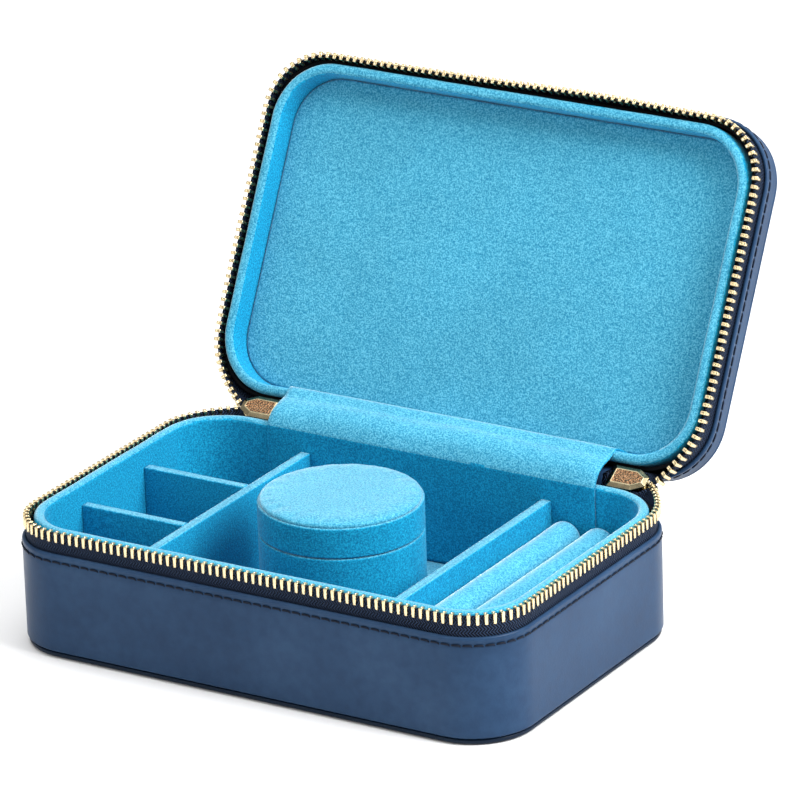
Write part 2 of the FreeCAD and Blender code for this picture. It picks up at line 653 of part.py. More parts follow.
def make_slider(side, name):
    """Two plates joined by a neck at the nose, side walls, and a bridge on the outside plate."""
    gap, plate_thick, rim = value("slider_gap"), value("slider_plate"), value("slider_rim")
    body, nose = value("slider_body"), value("slider_nose")
    wide, inset = value("slider_width"), value("slider_field_inset")
    reach, bar = value("bridge_reach"), value("bridge_bar_round")
    window = value("bridge_half_length")
    tail = -(body + nose) / 2
    outside = gap / 2 + plate_thick
    pieces = []
    for y in (-gap / 2 - rim, gap / 2):
        pieces += shield(name + "_edge", 0.0, y, rim)
    for y in (-outside, gap / 2):
        pieces += shield(name + "_field", inset, y, plate_thick)
    neck = 2 * plate_thick
    pieces.append(local_box(name + "_neck", tail + body, -gap / 2, -neck / 2,
                            f"2 * {formula('slider_plate')}", formula("slider_gap"),
                            f"2 * {formula('slider_plate')}"))
    for z in (-wide / 2, wide / 2 - plate_thick):
        for y in (-gap / 2, gap / 2 - value("slider_lip")):
            pieces.append(local_box(name + "_wall", tail, y, z, formula("slider_body"),
                                    formula("slider_lip"), formula("slider_plate")))
    post_wide = 2 * bar
    for x in (-window - post_wide, window):
        pieces.append(local_box(name + "_post", x, outside, -bar,
                                f"2 * {formula('bridge_bar_round')}",
                                formula("bridge_reach bridge_bar_round"),
                                f"2 * {formula('bridge_bar_round')}"))
    rod = document.addObject("Part::Cylinder", name + "_bar")
    rod.setExpression("Radius", formula("bridge_bar_round"))
    rod.setExpression("Height", f"2 * {formula('bridge_half_length bridge_bar_round')}")
    rod.Placement = FreeCAD.Placement(FreeCAD.Vector(-window - bar, outside + reach, 0),
                                      FreeCAD.Rotation(Y_AXIS, 90))
    pieces.append(rod)
    slider = document.addObject("Part::MultiFuse", name + "_fuse")
    slider.Shapes = pieces
    spot = FreeCAD.Vector(slider_middle(side), value("hinge_y slider_back"),
                          value("hinge_z -slider_drop"))
    facing = FreeCAD.Rotation() if side > 0 else FreeCAD.Rotation(Y_AXIS, 180)
    slider.Placement = FreeCAD.Placement(spot, facing)
    keep(name, slider, SLIDER_OPEN)


def bridge_bar_centre(side):
    """Middle of the bridge bar with the case open: the pull's link turns about it."""
    outside = value("slider_gap") / 2 + value("slider_plate")
    closed = FreeCAD.Vector(slider_middle(side),
                            value("hinge_y slider_back bridge_reach") + outside,
                            value("hinge_z -slider_drop"))
    return SLIDER_OPEN.multVec(closed)


def make_pull(side, where):
    """A long wire link hanging on the bridge bar, and a flat tab hanging on the link."""
    centre = bridge_bar_centre(side)
    half, wire = value("link_half_width"), value("link_wire_round")
    drop = FreeCAD.Vector(0, 0, -value("link_length"))
    across = FreeCAD.Vector(0, half, 0)
    up = FreeCAD.Vector(0, 0, half)
    path = Part.Wire([
        Part.Arc(centre + across, centre + up, centre - across).toShape(),
        Part.LineSegment(centre - across, centre - across + drop).toShape(),
        Part.Arc(centre - across + drop, centre + drop - up, centre + across + drop).toShape(),
        Part.LineSegment(centre + across + drop, centre + across).toShape(),
    ])
    section = Part.Wire(Part.makeCircle(wire, centre + across, Z_AXIS))
    add_shape(f"pull_link_{where}", path.makePipeShell([section], True, True))

    hole = centre + drop - up
    wide, thick = value("tab_width"), value("tab_thick")
    end = hole - FreeCAD.Vector(0, 0, value("tab_length") - wide / 2)
    eye = wide / 2 - wire
    shank = Part.makeBox(wide, thick, (hole - end).z,
                         FreeCAD.Vector(end.x - wide / 2, end.y - thick / 2, end.z))
    head = Part.makeCylinder(eye, thick, hole - Y_AXIS * thick / 2, Y_AXIS)
    foot = Part.makeCylinder(wide / 2, thick, end - Y_AXIS * thick / 2, Y_AXIS)
    shank.translate(FreeCAD.Vector(0, 0, -eye))
    opening = Part.makeCylinder(value("tab_hole_round"), thick, hole - Y_AXIS * thick / 2, Y_AXIS)
    neck = Part.makeBox(2 * eye, thick, 2 * eye,
                        FreeCAD.Vector(hole.x - eye, hole.y - thick / 2, hole.z - 2 * eye))
    tab = head.fuse([neck, shank, foot]).removeSplitter().cut(opening)
    add_shape(f"pull_tab_{where}", tab)


# ---------------------------------------------------------------- round capsule

def disc(name, radius, low, high):
    cylinder = document.addObject("Part::Cylinder", name + "_cylinder")
    cylinder.setExpression("Radius", radius)
    cylinder.setExpression("Height", f"{formula(high)} - {formula(low)}")
    cylinder.setExpression("Placement.Base.x", formula("capsule_x"))
    cylinder.setExpression("Placement.Base.z", formula(low))
    return cylinder


def hollow(name, outside, inside):
    cut = document.addObject("Part::Cut", name + "_cut")
    cut.Base = outside
    cut.Tool = inside
    keep(name, cut)


def make_capsule():
    outer = formula("capsule_round")
    bore = formula("capsule_round -capsule_wall")
    neck_outer = formula("capsule_round -capsule_wall -capsule_fit")
    neck_inner = formula("capsule_round -capsule_wall -capsule_fit -capsule_neck_wall")
    hollow("capsule_base_shell",
           disc("capsule_base_out", outer, "capsule_low", "capsule_seam_low"),
           disc("capsule_base_in", bore, "capsule_floor", "capsule_neck_top"))
    hollow("capsule_neck",
           disc("capsule_neck_out", neck_outer, "capsule_floor", "capsule_neck_top"),
           disc("capsule_neck_in", neck_inner, "capsule_low", "capsule_lid_top"))
    floor_top = "capsule_floor capsule_lining_thick"
    keep("capsule_base_lining", disc("capsule_floor_lining", neck_inner, "capsule_floor", floor_top))
    hollow("capsule_lid_shell",
           disc("capsule_lid_out", outer, "capsule_seam_high", "capsule_lid_top"),
           disc("capsule_lid_in", bore, "capsule_seam_low", "capsule_lid_under"))
    lining_low = "capsule_lid_under -capsule_lining_thick"
    lid_lining = disc("capsule_lid_under_lining", neck_outer, lining_low, "capsule_lid_under")
    keep("capsule_lid_lining", lid_lining)
    pad_radius = formula("capsule_round -capsule_pad_inset")
    cushion = disc("capsule_pad_plain", pad_radius, "capsule_lid_top", "capsule_pad_top")
    document.recompute()
    top = value("capsule_pad_top")
    edges = [number for number, item in enumerate(cushion.Shape.Edges, start=1)
             if abs(item.BoundBox.ZMin - top) < SAME_LEVEL]
    rounded = document.addObject("Part::Fillet", "capsule_pad_round")
    rounded.Base = cushion
    bend = value("capsule_pad_edge")
    rounded.Edges = [(number, bend, bend) for number in edges]
    keep("capsule_lid_pad", rounded)


# ---------------------------------------------------------------- build, check, write

def check_and_write():
    document.recompute()
    broken = [item.Label for item in document.Objects if "Invalid" in item.State or "Error" in item.State]
    if broken:
        raise RuntimeError(f"failed objects: {broken}")
    for item in sub_parts:
        if item.Shape.isNull() or not item.Shape.isValid() or not item.Shape.Solids:
            raise RuntimeError(f"{item.Label}: no valid solid")
    os.makedirs("parts", exist_ok=True)
    for item in sub_parts:
        item.Shape.exportStep(os.path.join("parts", item.Label + ".step"))
        print(f"{item.Label:24} solids {len(item.Shape.Solids):4} volume {item.Shape.Volume:11.1f}")


make_base()
make_dividers()
make_ring_rolls()
make_lid()
make_hinge_leather()
make_hinge_flap()
make_zip_rows()
for side, where in ((-1, "left"), (1, "right")):
    make_slider(side, f"zip_slider_{where}")
    make_pull(side, where)
make_capsule()
check_and_write()
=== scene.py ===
import bpy
import bmesh
import json
import math
from mathutils import Matrix, Vector, noise


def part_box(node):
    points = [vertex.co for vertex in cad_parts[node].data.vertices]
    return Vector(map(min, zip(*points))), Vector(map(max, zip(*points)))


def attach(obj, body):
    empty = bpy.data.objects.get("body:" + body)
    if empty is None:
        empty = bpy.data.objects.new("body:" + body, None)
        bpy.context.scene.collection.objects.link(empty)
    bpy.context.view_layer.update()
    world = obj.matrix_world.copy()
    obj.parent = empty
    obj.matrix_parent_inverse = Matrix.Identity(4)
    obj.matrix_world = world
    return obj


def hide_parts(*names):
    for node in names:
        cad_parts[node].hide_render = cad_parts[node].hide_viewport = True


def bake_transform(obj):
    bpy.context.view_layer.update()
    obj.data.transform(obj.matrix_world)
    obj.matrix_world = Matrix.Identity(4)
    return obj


# Zip-round leather jewellery case. Lengths are millimetres in the CAD frame, and meshes are made in metres.
# Lid pieces are drawn with the lid closed and then swung open, as in the CAD. Faces are turned outwards when a
# piece is finished. Before that, which way they look matters only in puffed().

MM = 0.001
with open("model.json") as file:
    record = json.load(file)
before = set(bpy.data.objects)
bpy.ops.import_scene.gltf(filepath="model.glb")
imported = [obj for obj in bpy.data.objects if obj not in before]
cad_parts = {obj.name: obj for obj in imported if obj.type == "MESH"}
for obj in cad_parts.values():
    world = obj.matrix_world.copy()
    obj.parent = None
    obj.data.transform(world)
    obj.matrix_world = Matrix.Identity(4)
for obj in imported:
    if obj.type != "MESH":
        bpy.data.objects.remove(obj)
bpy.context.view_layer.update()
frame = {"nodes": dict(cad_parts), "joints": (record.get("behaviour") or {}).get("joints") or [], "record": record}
BODY_OF = {node: body for body, nodes in frame["record"]["behaviour"]["bodies"].items() for node in nodes}
SLOT_OF = {part["node"]: part["material_slot"] for part in frame["record"]["subparts"]}


def box_mm(node):
    low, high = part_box(node)
    return [v / MM for v in low], [v / MM for v in high]


HINGE = next(j for j in frame["joints"] if j["name"] == "lid_hinge")
HINGE_Y, HINGE_Z = HINGE["pos_m"][1] / MM, HINGE["pos_m"][2] / MM
LID_ANGLE = math.radians(HINGE["range_deg"][0])


def about_hinge(angle):
    pivot = Vector((0, HINGE_Y, HINGE_Z))
    return Matrix.Translation(pivot) @ Matrix.Rotation(angle, 4, "X") @ Matrix.Translation(-pivot)


OPEN = about_hinge(LID_ANGLE)
CLOSE = OPEN.inverted()
HALF_OPEN = about_hinge(LID_ANGLE / 2)


def closed_levels(node):
    """Lowest and highest z of a lid node with the lid closed, in mm."""
    levels = [(CLOSE @ (v.co / MM)).z for v in frame["nodes"][node].data.vertices]
    return min(levels), max(levels)


def middle_x(low, high):
    return (low[0] + high[0]) / 2


SIDE_LOW, SIDE_HIGH = box_mm("base_side_leather")
HALF_X, HALF_Y, CORNER = SIDE_HIGH[0], SIDE_HIGH[1], 22.0
BAND_LOW, BAND_TOP = SIDE_LOW[2], SIDE_HIGH[2]
RIM_LOW, RIM_HIGH = box_mm("base_lining_wall_suede")
RIM_X, RIM_Y, RIM_TOP, RIM_WALL = RIM_HIGH[0], RIM_HIGH[1], RIM_HIGH[2], 3.7
FLOOR_TOP = box_mm("base_lining_floor")[1][2]
INNER_X, INNER_Y, INNER_CORNER = RIM_X - RIM_WALL, RIM_Y - RIM_WALL, CORNER - RIM_WALL
LID_BAND_LOW, LID_BAND_TOP = closed_levels("lid_side_leather")
LID_TOP = closed_levels("lid_top_leather")[1]
LID_RIM_LOW = closed_levels("lid_lining_rim_suede")[0]
LID_PANEL_LOW, LID_PANEL_TOP = closed_levels("lid_lining_panel")

# ---------------------------------------------------------------- shapes


STRAIGHT_STEP, CORNER_BENDS = 2.5, 16


def outline(half_x, half_y, radius):
    """A rounded rectangle, anticlockwise from the front right: (x, y, normal x, normal y, travel)."""
    flat_x, flat_y = half_x - radius, half_y - radius
    corners = [(flat_x, -flat_y, -90), (flat_x, flat_y, 0), (-flat_x, flat_y, 90), (-flat_x, -flat_y, 180)]
    rows = []
    for index, (cx, cy, start) in enumerate(corners):
        for k in range(CORNER_BENDS + 1):
            angle = math.radians(start + 90 * k / CORNER_BENDS)
            nx, ny = math.cos(angle), math.sin(angle)
            rows.append((cx + radius * nx, cy + radius * ny, nx, ny))
        tx, ty, _ = corners[(index + 1) % 4]
        end = (tx + radius * nx, ty + radius * ny)
        length = math.hypot(end[0] - rows[-1][0], end[1] - rows[-1][1])
        count = max(1, round(length / STRAIGHT_STEP))
        x0, y0 = rows[-1][:2]
        for k in range(1, count):
            share = k / count
            rows.append((x0 + (end[0] - x0) * share, y0 + (end[1] - y0) * share, nx, ny))
    path, travel = [], 0.0
    for index, row in enumerate(rows):
        if index:
            travel += math.hypot(row[0] - rows[index - 1][0], row[1] - rows[index - 1][1])
        path.append((*row, travel))
    return path


def arc(cx, cz, radius, start, end, count=6):
    """Points of an arc in a profile, angles in degrees."""
    angles = [math.radians(start + (end - start) * k / count) for k in range(count + 1)]
    return [(cx + radius * math.cos(a), cz + radius * math.sin(a)) for a in angles]


def travel_of(points):
    total, out = 0.0, [0.0]
    for a, b in zip(points, points[1:]):
        total += math.dist(a, b)
        out.append(total)
    return out


class Build:
    """Vertices, faces and loop coordinates of one mesh, in mm."""

    def __init__(self):
        self.points, self.faces, self.uvs = [], [], []

    def grid(self, rows, wrap_rows=False, wrap_columns=False, u=None, v=None, turned=False):
        """Quads over rows of points. u runs over the rows, v along each. turned makes them look back."""
        base, count, width = len(self.points), len(rows), len(rows[0])
        u = u or list(range(count))
        v = v or list(range(width))
        u_end = u[-1] + (u[-1] - u[-2]) if wrap_rows else None
        v_end = v[-1] + (v[-1] - v[-2]) if wrap_columns else None
        for row in rows:
            self.points.extend(row)
        for i in range(count if wrap_rows else count - 1):
            for j in range(width if wrap_columns else width - 1):
                i2, j2 = (i + 1) % count, (j + 1) % width
                u2 = u_end if i2 < i else u[i2]
                v2 = v_end if j2 < j else v[j2]
                here, there = base + i * width, base + i2 * width
                quad = [here + j, there + j, there + j2, here + j2]
                corners = [(u[i], v[j]), (u2, v[j]), (u2, v2), (u[i], v2)]
                self.faces.append(quad[::-1] if turned else quad)
                self.uvs.append(corners[::-1] if turned else corners)
        return base

    def face(self, indices, u=0, v=1):
        """One face, whose loop coordinates are two of its points' own."""
        self.faces.append(list(indices))
        self.uvs.append([(self.points[i][u], self.points[i][v]) for i in indices])

    def tube(self, rows, u=None, v=None):
        """A sheet over closed rows of points, capped at both ends."""
        first, width = self.grid(rows, False, True, u, v), len(rows[0])
        self.face(range(first, first + width))
        self.face(range(len(self.points) - 1, len(self.points) - width - 1, -1))

    def sweep(self, path, profile):
        """A closed profile of (inset, z) carried round a closed path."""
        rows = [[(x - nx * d, y - ny * d, z) for d, z in profile] for x, y, nx, ny, _ in path]
        self.grid(rows, True, True, [p[4] for p in path], travel_of(profile))

    def lathe(self, cx, cy, profile, count=160):
        """A closed profile of (radius, z) turned about a vertical axis."""
        angles = [2 * math.pi * k / count for k in range(count)]
        rows = [[(cx + r * math.cos(a), cy + r * math.sin(a), z) for r, z in profile] for a in angles]
        size = max(r for r, _ in profile)
        self.grid(rows, True, True, [2 * math.pi * size * k / count for k in range(count)],
                  travel_of(profile))

    def slab(self, path, profile, centre_low, centre_high, rings=8):
        """A plate: a profile of (inset, z) from under to top, closed by discs with middles at given levels."""
        rows = [[(x - nx * d, y - ny * d, z) for x, y, nx, ny, _ in path] for d, z in profile]
        first = self.grid(rows, False, True, travel_of(profile), [p[4] for p in path], True)
        width = len(path)
        last = first + width * (len(rows) - 1)
        for start, edge, level, step in ((first, rows[0], centre_low, -1), (last, rows[-1], centre_high, 1)):
            for ring in range(1, rings):
                share = 1 - ring / rings
                at = len(self.points)
                drop = 1 - share ** 2
                self.points.extend((x * share, y * share, z + (level - z) * drop) for x, y, z in edge)
                for k in range(width):
                    after = (k + 1) % width
                    self.face([start + k, start + after, at + after, at + k][::step])
                start = at
            at = len(self.points)
            self.points.append((0, 0, level))
            for k in range(width):
                self.face([start + k, start + (k + 1) % width][::step] + [at])

    def add(self, other_points, other_faces):
        base = len(self.points)
        self.points.extend(other_points)
        for face in other_faces:
            self.face([base + i for i in face], 0, 2)

    def moved(self, change):
        self.points = [change(*p) for p in self.points]
        return self

    def soften(self, amount, size, seed=0.0):
        """Moves every point a little, so that wrapped cloth isn't dead flat."""
        shift = Vector((seed, 1.7 * seed, 2.3 * seed))
        self.points = [tuple(Vector(p) + amount * noise.noise_vector(Vector(p) / size + shift))
                       for p in self.points]

    def finish(self, name, material, node, place=None, weighted=True, stands_for=True, bends=False):
        """Makes the piece, with the body of a CAD node. It replaces the node if it stands for it, and
        rides on the body unless it bends. Lid pieces swing open."""
        body = BODY_OF[node]
        if body == "lid":
            place = OPEN
        mesh = bpy.data.meshes.new(name)
        mesh.from_pydata([(x * MM, y * MM, z * MM) for x, y, z in self.points], [], self.faces)
        layer = mesh.uv_layers.new(name="UVMap")
        layer.data.foreach_set("uv", [c * MM for face in self.uvs for pair in face for c in pair])
        if place is not None:
            turn = place.copy()
            turn.translation = place.translation * MM
            mesh.transform(turn)
        bm = bmesh.new()
        bm.from_mesh(mesh)
        bmesh.ops.recalc_face_normals(bm, faces=bm.faces)
        bm.to_mesh(mesh)
        bm.free()
        mesh.polygons.foreach_set("use_smooth", [True] * len(mesh.polygons))
        mesh.materials.append(material)
        obj = bpy.data.objects.new(name, mesh)
        bpy.context.scene.collection.objects.link(obj)
        if weighted:
            modifier = obj.modifiers.new("shading", "WEIGHTED_NORMAL")
            modifier.weight = 80
        if stands_for:
            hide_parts(node)
        if not bends:
            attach(obj, body)
        return obj


def shade_sides(obj, least_rise=0.6, up=(0, 0, 1)):
    """Gives the faces that don't look up the deeper suede copy with little sheen: painted shade on the sides."""
    obj.data.materials.append(SHADED_SIDE_SUEDE)
    for face in obj.data.polygons:
        if face.normal.dot(Vector(up)) < least_rise:
            face.material_index = 1


def rounded_box(low, high, top_round, end_round, segments=4):
    """Points and faces of a box with rounded top and end edges, in mm."""
    bm = bmesh.new()
    bmesh.ops.create_cube(bm, size=1.0)
    size = [h - l for l, h in zip(low, high)]
    middle = [(h + l) / 2 for l, h in zip(low, high)]
    for v in bm.verts:
        v.co = Vector(m + c * s for m, c, s in zip(middle, v.co, size))
    upright = [e for e in bm.edges if abs(e.verts[0].co.z - e.verts[1].co.z) > 1e-6]
    bmesh.ops.bevel(bm, geom=upright, offset=end_round, segments=segments, profile=0.5, affect="EDGES")
    top = [e for e in bm.edges if all(abs(v.co.z - high[2]) < 1e-6 for v in e.verts) and not e.is_wire
           and any(abs(f.normal.z) < 0.5 for f in e.link_faces)]
    bmesh.ops.bevel(bm, geom=top, offset=top_round, segments=segments, profile=0.5, affect="EDGES")
    bmesh.ops.triangulate(bm, faces=[f for f in bm.faces if len(f.verts) > 4])
    bm.verts.index_update()
    points = [tuple(v.co) for v in bm.verts]
    faces = [[v.index for v in f.verts] for f in bm.faces]
    bm.free()
    return points, faces


# ---------------------------------------------------------------- materials


class Nodes:
    """A small helper to build one procedural material."""

    def __init__(self, name):
        self.material = bpy.data.materials.new(name)
        self.material.use_nodes = True
        self.tree = self.material.node_tree
        self.tree.nodes.clear()
        self.output = self.tree.nodes.new("ShaderNodeOutputMaterial")
        self.shader = self.tree.nodes.new("ShaderNodeBsdfPrincipled")
        self.link(self.shader.outputs[0], self.output.inputs["Surface"])
        self.where = self.tree.nodes.new("ShaderNodeTexCoord")

    def link(self, a, b):
        self.tree.links.new(a, b)

    def node(self, kind, settings=(), **inputs):
        made = self.tree.nodes.new(kind)
        for key, amount in dict(settings).items():
            setattr(made, key, amount)
        for key, amount in inputs.items():
            self.feed(made.inputs[int(key[1:])] if key[1:].isdigit() else made.inputs[key], amount)
        return made

    def feed(self, socket, amount):
        if isinstance(amount, bpy.types.NodeSocket):
            self.link(amount, socket)
        else:
            socket.default_value = amount

    def noise(self, scale, detail, rough):
        made = self.node("ShaderNodeTexNoise", Vector=self.where.outputs["Object"], Scale=scale, Detail=detail,
                         Roughness=rough)
        return made.outputs["Fac"]

    def cells(self, scale):
        made = self.node("ShaderNodeTexVoronoi", Vector=self.where.outputs["Object"], Scale=scale)
        return made.outputs["Distance"]

    def ramp(self, value, *stops):
        made = self.node("ShaderNodeValToRGB", i0=value)
        elements = made.color_ramp.elements
        while len(elements) < len(stops):
            elements.new(0.5)
        for element, (place, colour) in zip(elements, stops):
            element.position = place
            element.color = (*colour, 1.0)
        return made.outputs[0]

    def span(self, value, low, high, out_low, out_high):
        return self.node("ShaderNodeMapRange", i0=value, i1=low, i2=high, i3=out_low, i4=out_high).outputs[0]

    def multiply_colours(self, a, b):
        settings = {"data_type": "RGBA", "blend_type": "MULTIPLY"}
        return self.node("ShaderNodeMix", settings, i0=1.0, i6=a, i7=b).outputs[2]

    def sum(self, kind, a, b=0.0):
        return self.node("ShaderNodeMath", {"operation": kind}, i0=a, i1=b).outputs[0]

    def rough(self, value, low, high):
        """Roughness from low to high, over the part of its range that a noise mostly fills."""
        self.set(Roughness=self.span(value, 0.3, 0.7, low, high))

    def bump(self, height, strength, distance, normal=None):
        made = self.node("ShaderNodeBump", Height=height, Strength=strength, Distance=distance)
        if normal is not None:
            self.link(normal, made.inputs["Normal"])
        return made.outputs[0]

    def set(self, **inputs):
        for key, amount in inputs.items():
            self.feed(self.shader.inputs[key.replace("_", " ")], amount)


def leather(name, shade=1.0):
    n = Nodes(name)
    grain = n.cells(1500.0)
    pores = n.noise(4200.0, 3.0, 0.6)
    cloud = n.noise(22.0, 4.0, 0.55)
    mottle = n.noise(260.0, 3.0, 0.6)
    deep, base, worn = [[c * shade for c in colour] for colour in
                        ((0.012, 0.035, 0.082), (0.017, 0.045, 0.100), (0.024, 0.058, 0.121))]
    tone = n.ramp(cloud, (0.30, deep), (0.55, base), (0.75, worn))
    fleck = n.ramp(mottle, (0.35, (0.90, 0.90, 0.92)), (0.65, (1.08, 1.07, 1.05)))
    n.set(Base_Color=n.multiply_colours(tone, fleck))
    n.set(Roughness=n.span(n.sum("ADD", mottle, cloud), 0.7, 1.3, 0.30, 0.40))
    n.set(Specular_IOR_Level=0.11)
    fine = n.bump(n.sum("ADD", grain, n.sum("MULTIPLY", pores, 0.5)), 0.14, 0.00012)
    n.set(Normal=n.bump(cloud, 0.16, 0.0009, fine))
    return n.material


def suede(name, tones, sheen):
    """Short-napped microsuede: stippled, paler where the nap stands, with a soft sheen."""
    n = Nodes(name)
    nap = n.noise(1700.0, 2.0, 0.62)
    fibre = n.noise(3900.0, 2.0, 0.6)
    stroke = n.noise(30.0, 3.0, 0.5)
    stipple = n.sum("ADD", n.sum("MULTIPLY", nap, 0.64), n.sum("MULTIPLY", fibre, 0.36))
    tone = n.ramp(stipple, *zip((0.42, 0.50, 0.58), tones))
    sweep = n.ramp(stroke, (0.36, (0.95, 0.95, 0.95)), (0.66, (1.04, 1.04, 1.04)))
    n.set(Base_Color=n.multiply_colours(tone, sweep))
    n.rough(fibre, 0.82, 0.98)
    n.set(Specular_IOR_Level=0.15, Sheen_Weight=sheen, Sheen_Roughness=0.34,
          Sheen_Tint=(0.88, 0.99, 1.0, 1.0))
    soft = n.bump(stroke, 0.2, 0.0006)
    n.set(Normal=n.bump(stipple, 0.7, 0.0003, soft))
    return n.material


HERRING_WIDTH, TWILL, WEFT = 0.0013, 0.0011, 0.0006  # the weave's repeats, in metres


def tape():
    """Woven herringbone zip tape. The loop coordinates run along and across it, in metres."""
    n = Nodes("navy_herringbone_tape")
    split = n.node("ShaderNodeSeparateXYZ", i0=n.where.outputs["UV"])
    along, across = split.outputs[0], split.outputs[1]
    zigzag = n.sum("PINGPONG", across, HERRING_WIDTH)
    twill = n.sum("ADD", along, n.sum("MULTIPLY", zigzag, 0.9))
    wave = n.sum("SINE", n.sum("MULTIPLY", twill, 2 * math.pi / TWILL))
    weft = n.sum("SINE", n.sum("MULTIPLY", across, 2 * math.pi / WEFT))
    cloth = n.sum("ADD", n.sum("MULTIPLY", wave, 0.75), n.sum("MULTIPLY", weft, 0.25))
    fuzz = n.noise(3600.0, 3.0, 0.6)
    height = n.span(n.sum("ADD", cloth, fuzz), -0.4, 1.4, 0.0, 1.0)
    n.set(Base_Color=n.ramp(height, (0.25, (0.001, 0.002, 0.006)), (0.55, (0.005, 0.012, 0.032)),
                            (0.80, (0.024, 0.046, 0.098))))
    n.rough(fuzz, 0.62, 0.85)
    n.set(Specular_IOR_Level=0.15, Normal=n.bump(height, 1.0, 0.0005))
    return n.material


def gold(name, colour, low, high, hammer=0.0):
    n = Nodes(name)
    patina = n.noise(420.0, 3.0, 0.6)
    scratch = n.noise(2600.0, 2.0, 0.5)
    dull, bright = [c * 0.80 for c in colour], [min(1, c * 1.08) for c in colour]
    n.set(Base_Color=n.ramp(patina, (0.30, dull), (0.60, colour), (0.85, bright)), Metallic=1.0)
    n.set(Roughness=n.span(n.sum("ADD", patina, scratch), 0.7, 1.3, low, high))
    fine = n.bump(scratch, 0.10, 0.00006)
    if hammer:
        fine = n.bump(n.cells(1350.0), hammer, 0.0004, fine)
    n.set(Normal=fine)
    return n.material


def thread():
    n = Nodes("navy_waxed_thread")
    ply = n.noise(5200.0, 2.0, 0.5)
    n.set(Base_Color=n.ramp(ply, (0.35, (0.002, 0.004, 0.010)), (0.65, (0.007, 0.012, 0.026))))
    n.rough(ply, 0.55, 0.75)
    n.set(Specular_IOR_Level=0.15, Normal=n.bump(ply, 0.5, 0.0001))
    return n.material


def board(name, dark, light):
    """Paper-faced board or foam: fibres and small flecks."""
    n = Nodes(name)
    fibre = n.noise(700.0, 5.0, 0.7)
    fleck = n.noise(2400.0, 2.0, 0.5)
    speckle = n.sum("MULTIPLY", n.sum("ADD", fibre, fleck), 0.5)
    n.set(Base_Color=n.ramp(speckle, (0.35, dark), (0.65, light)))
    n.rough(fibre, 0.75, 0.95)
    n.set(Specular_IOR_Level=0.1, Normal=n.bump(fibre, 0.4, 0.0002))
    return n.material


LEATHER = leather("navy_smooth_leather")
# a copy of the leather at 0.3 of its tone for the under panel's edge: painted shade, where the edge sits in shadow
# under the band
SHADED_LEATHER = leather("navy_leather_painted_shade", 0.3)
# a paler suede with strong sheen for the tops, the lid and the flap, and a deeper copy with little sheen for the
# sides: lit and shaded copies of one suede, painted light and painted shade
SUEDE = suede("blue_suede_paler_lit_copy",
              ((0.016, 0.195, 0.335), (0.046, 0.305, 0.455), (0.115, 0.440, 0.600)), 1.0)
SHADED_SIDE_SUEDE = suede("blue_suede_painted_shade",
                ((0.002, 0.170, 0.330), (0.004, 0.265, 0.470), (0.010, 0.370, 0.610)), 0.12)
TAPE = tape()
GOLD = gold("pale_gold_plating", (0.86, 0.70, 0.42), 0.20, 0.34)
CAST = gold("dark_cast_gold", (0.34, 0.29, 0.18), 0.14, 0.24)
HAMMERED = gold("hammered_gold_plating", (0.34, 0.19, 0.10), 0.18, 0.30, 1.0)
THREAD = thread()
# the board's near-black tone is painted shade for the dark gap between the rims and the teeth
BOARD_IN_SHADE = board("paper_board_painted_shade", (0.002, 0.002, 0.003), (0.005, 0.006, 0.008))
FOAM = board("white_foam_sheet", (0.70, 0.70, 0.68), (0.88, 0.88, 0.86))
BY_SLOT = {"navy_leather": LEATHER, "blue_suede": SUEDE, "zip_tape": TAPE, "gold_metal": GOLD, "board": BOARD_IN_SHADE,
           "padding": FOAM}
for node, slot in SLOT_OF.items():
    mesh = frame["nodes"][node].data
    mesh.materials.clear()
    mesh.materials.append(BY_SLOT[slot])

# ---------------------------------------------------------------- leather shell

STITCH_DROP, STITCH_PITCH, STITCH_ROUND = 2.8, 3.8, 0.34
BAND_THICK = SIDE_HIGH[0] - box_mm("base_frame_board")[1][0]


def leather_band(low, high, mirrored, flare=0.0):
    """Side band: a turned edge at the zip, a groove under the stitching, and a soft edge opposite."""
    roll, soft = BAND_THICK / 2, 0.5
    seam = high - STITCH_DROP
    profile = arc(soft, low + soft, soft, -90, -180)
    profile += [(0.0, low + 3.0), (0.0, (low + seam) / 2), (0.0, seam - 2.2), (0.03, seam - 0.9),
                (0.20, seam - 0.3), (0.26, seam), (0.20, seam + 0.3), (0.0, seam + 0.9), (-0.10, seam + 1.5),
                (-0.06, high - roll)]
    profile += arc(roll, high - roll, roll, 180, 0, 8)[1:]
    profile += [(BAND_THICK, (low + high) / 2), (BAND_THICK, low + 0.1), (BAND_THICK - 0.1, low)]
    profile = [(d - flare * ((z - low) / (high - low)) ** 2, z) for d, z in profile]
    if mirrored:
        profile = [(d, low + high - z) for d, z in profile]
    return profile


LID_FLARE = 0.9  # the lid's band leans out at its free edge, and the tape and teeth with it
case_path = outline(HALF_X, HALF_Y, CORNER)
band = Build()
band.sweep(case_path, leather_band(BAND_LOW, BAND_TOP, False))
PANEL_HIGH = box_mm("base_bottom_panel")[1]
WELT_OUT, WELT_IN = BAND_THICK - 0.15, BAND_THICK + 0.35
WELT_LOW, WELT_TOP = PANEL_HIGH[2] - 0.1, BAND_LOW + 0.3
band.sweep(case_path, [(WELT_OUT, WELT_LOW), (WELT_OUT, WELT_TOP), (WELT_IN, WELT_TOP), (WELT_IN, WELT_LOW)])
band.finish("base_side_band", LEATHER, "base_side_leather")

band = Build()
band.sweep(case_path, leather_band(LID_BAND_LOW, LID_BAND_TOP, True, LID_FLARE))
band.finish("lid_side_band", LEATHER, "lid_side_leather")

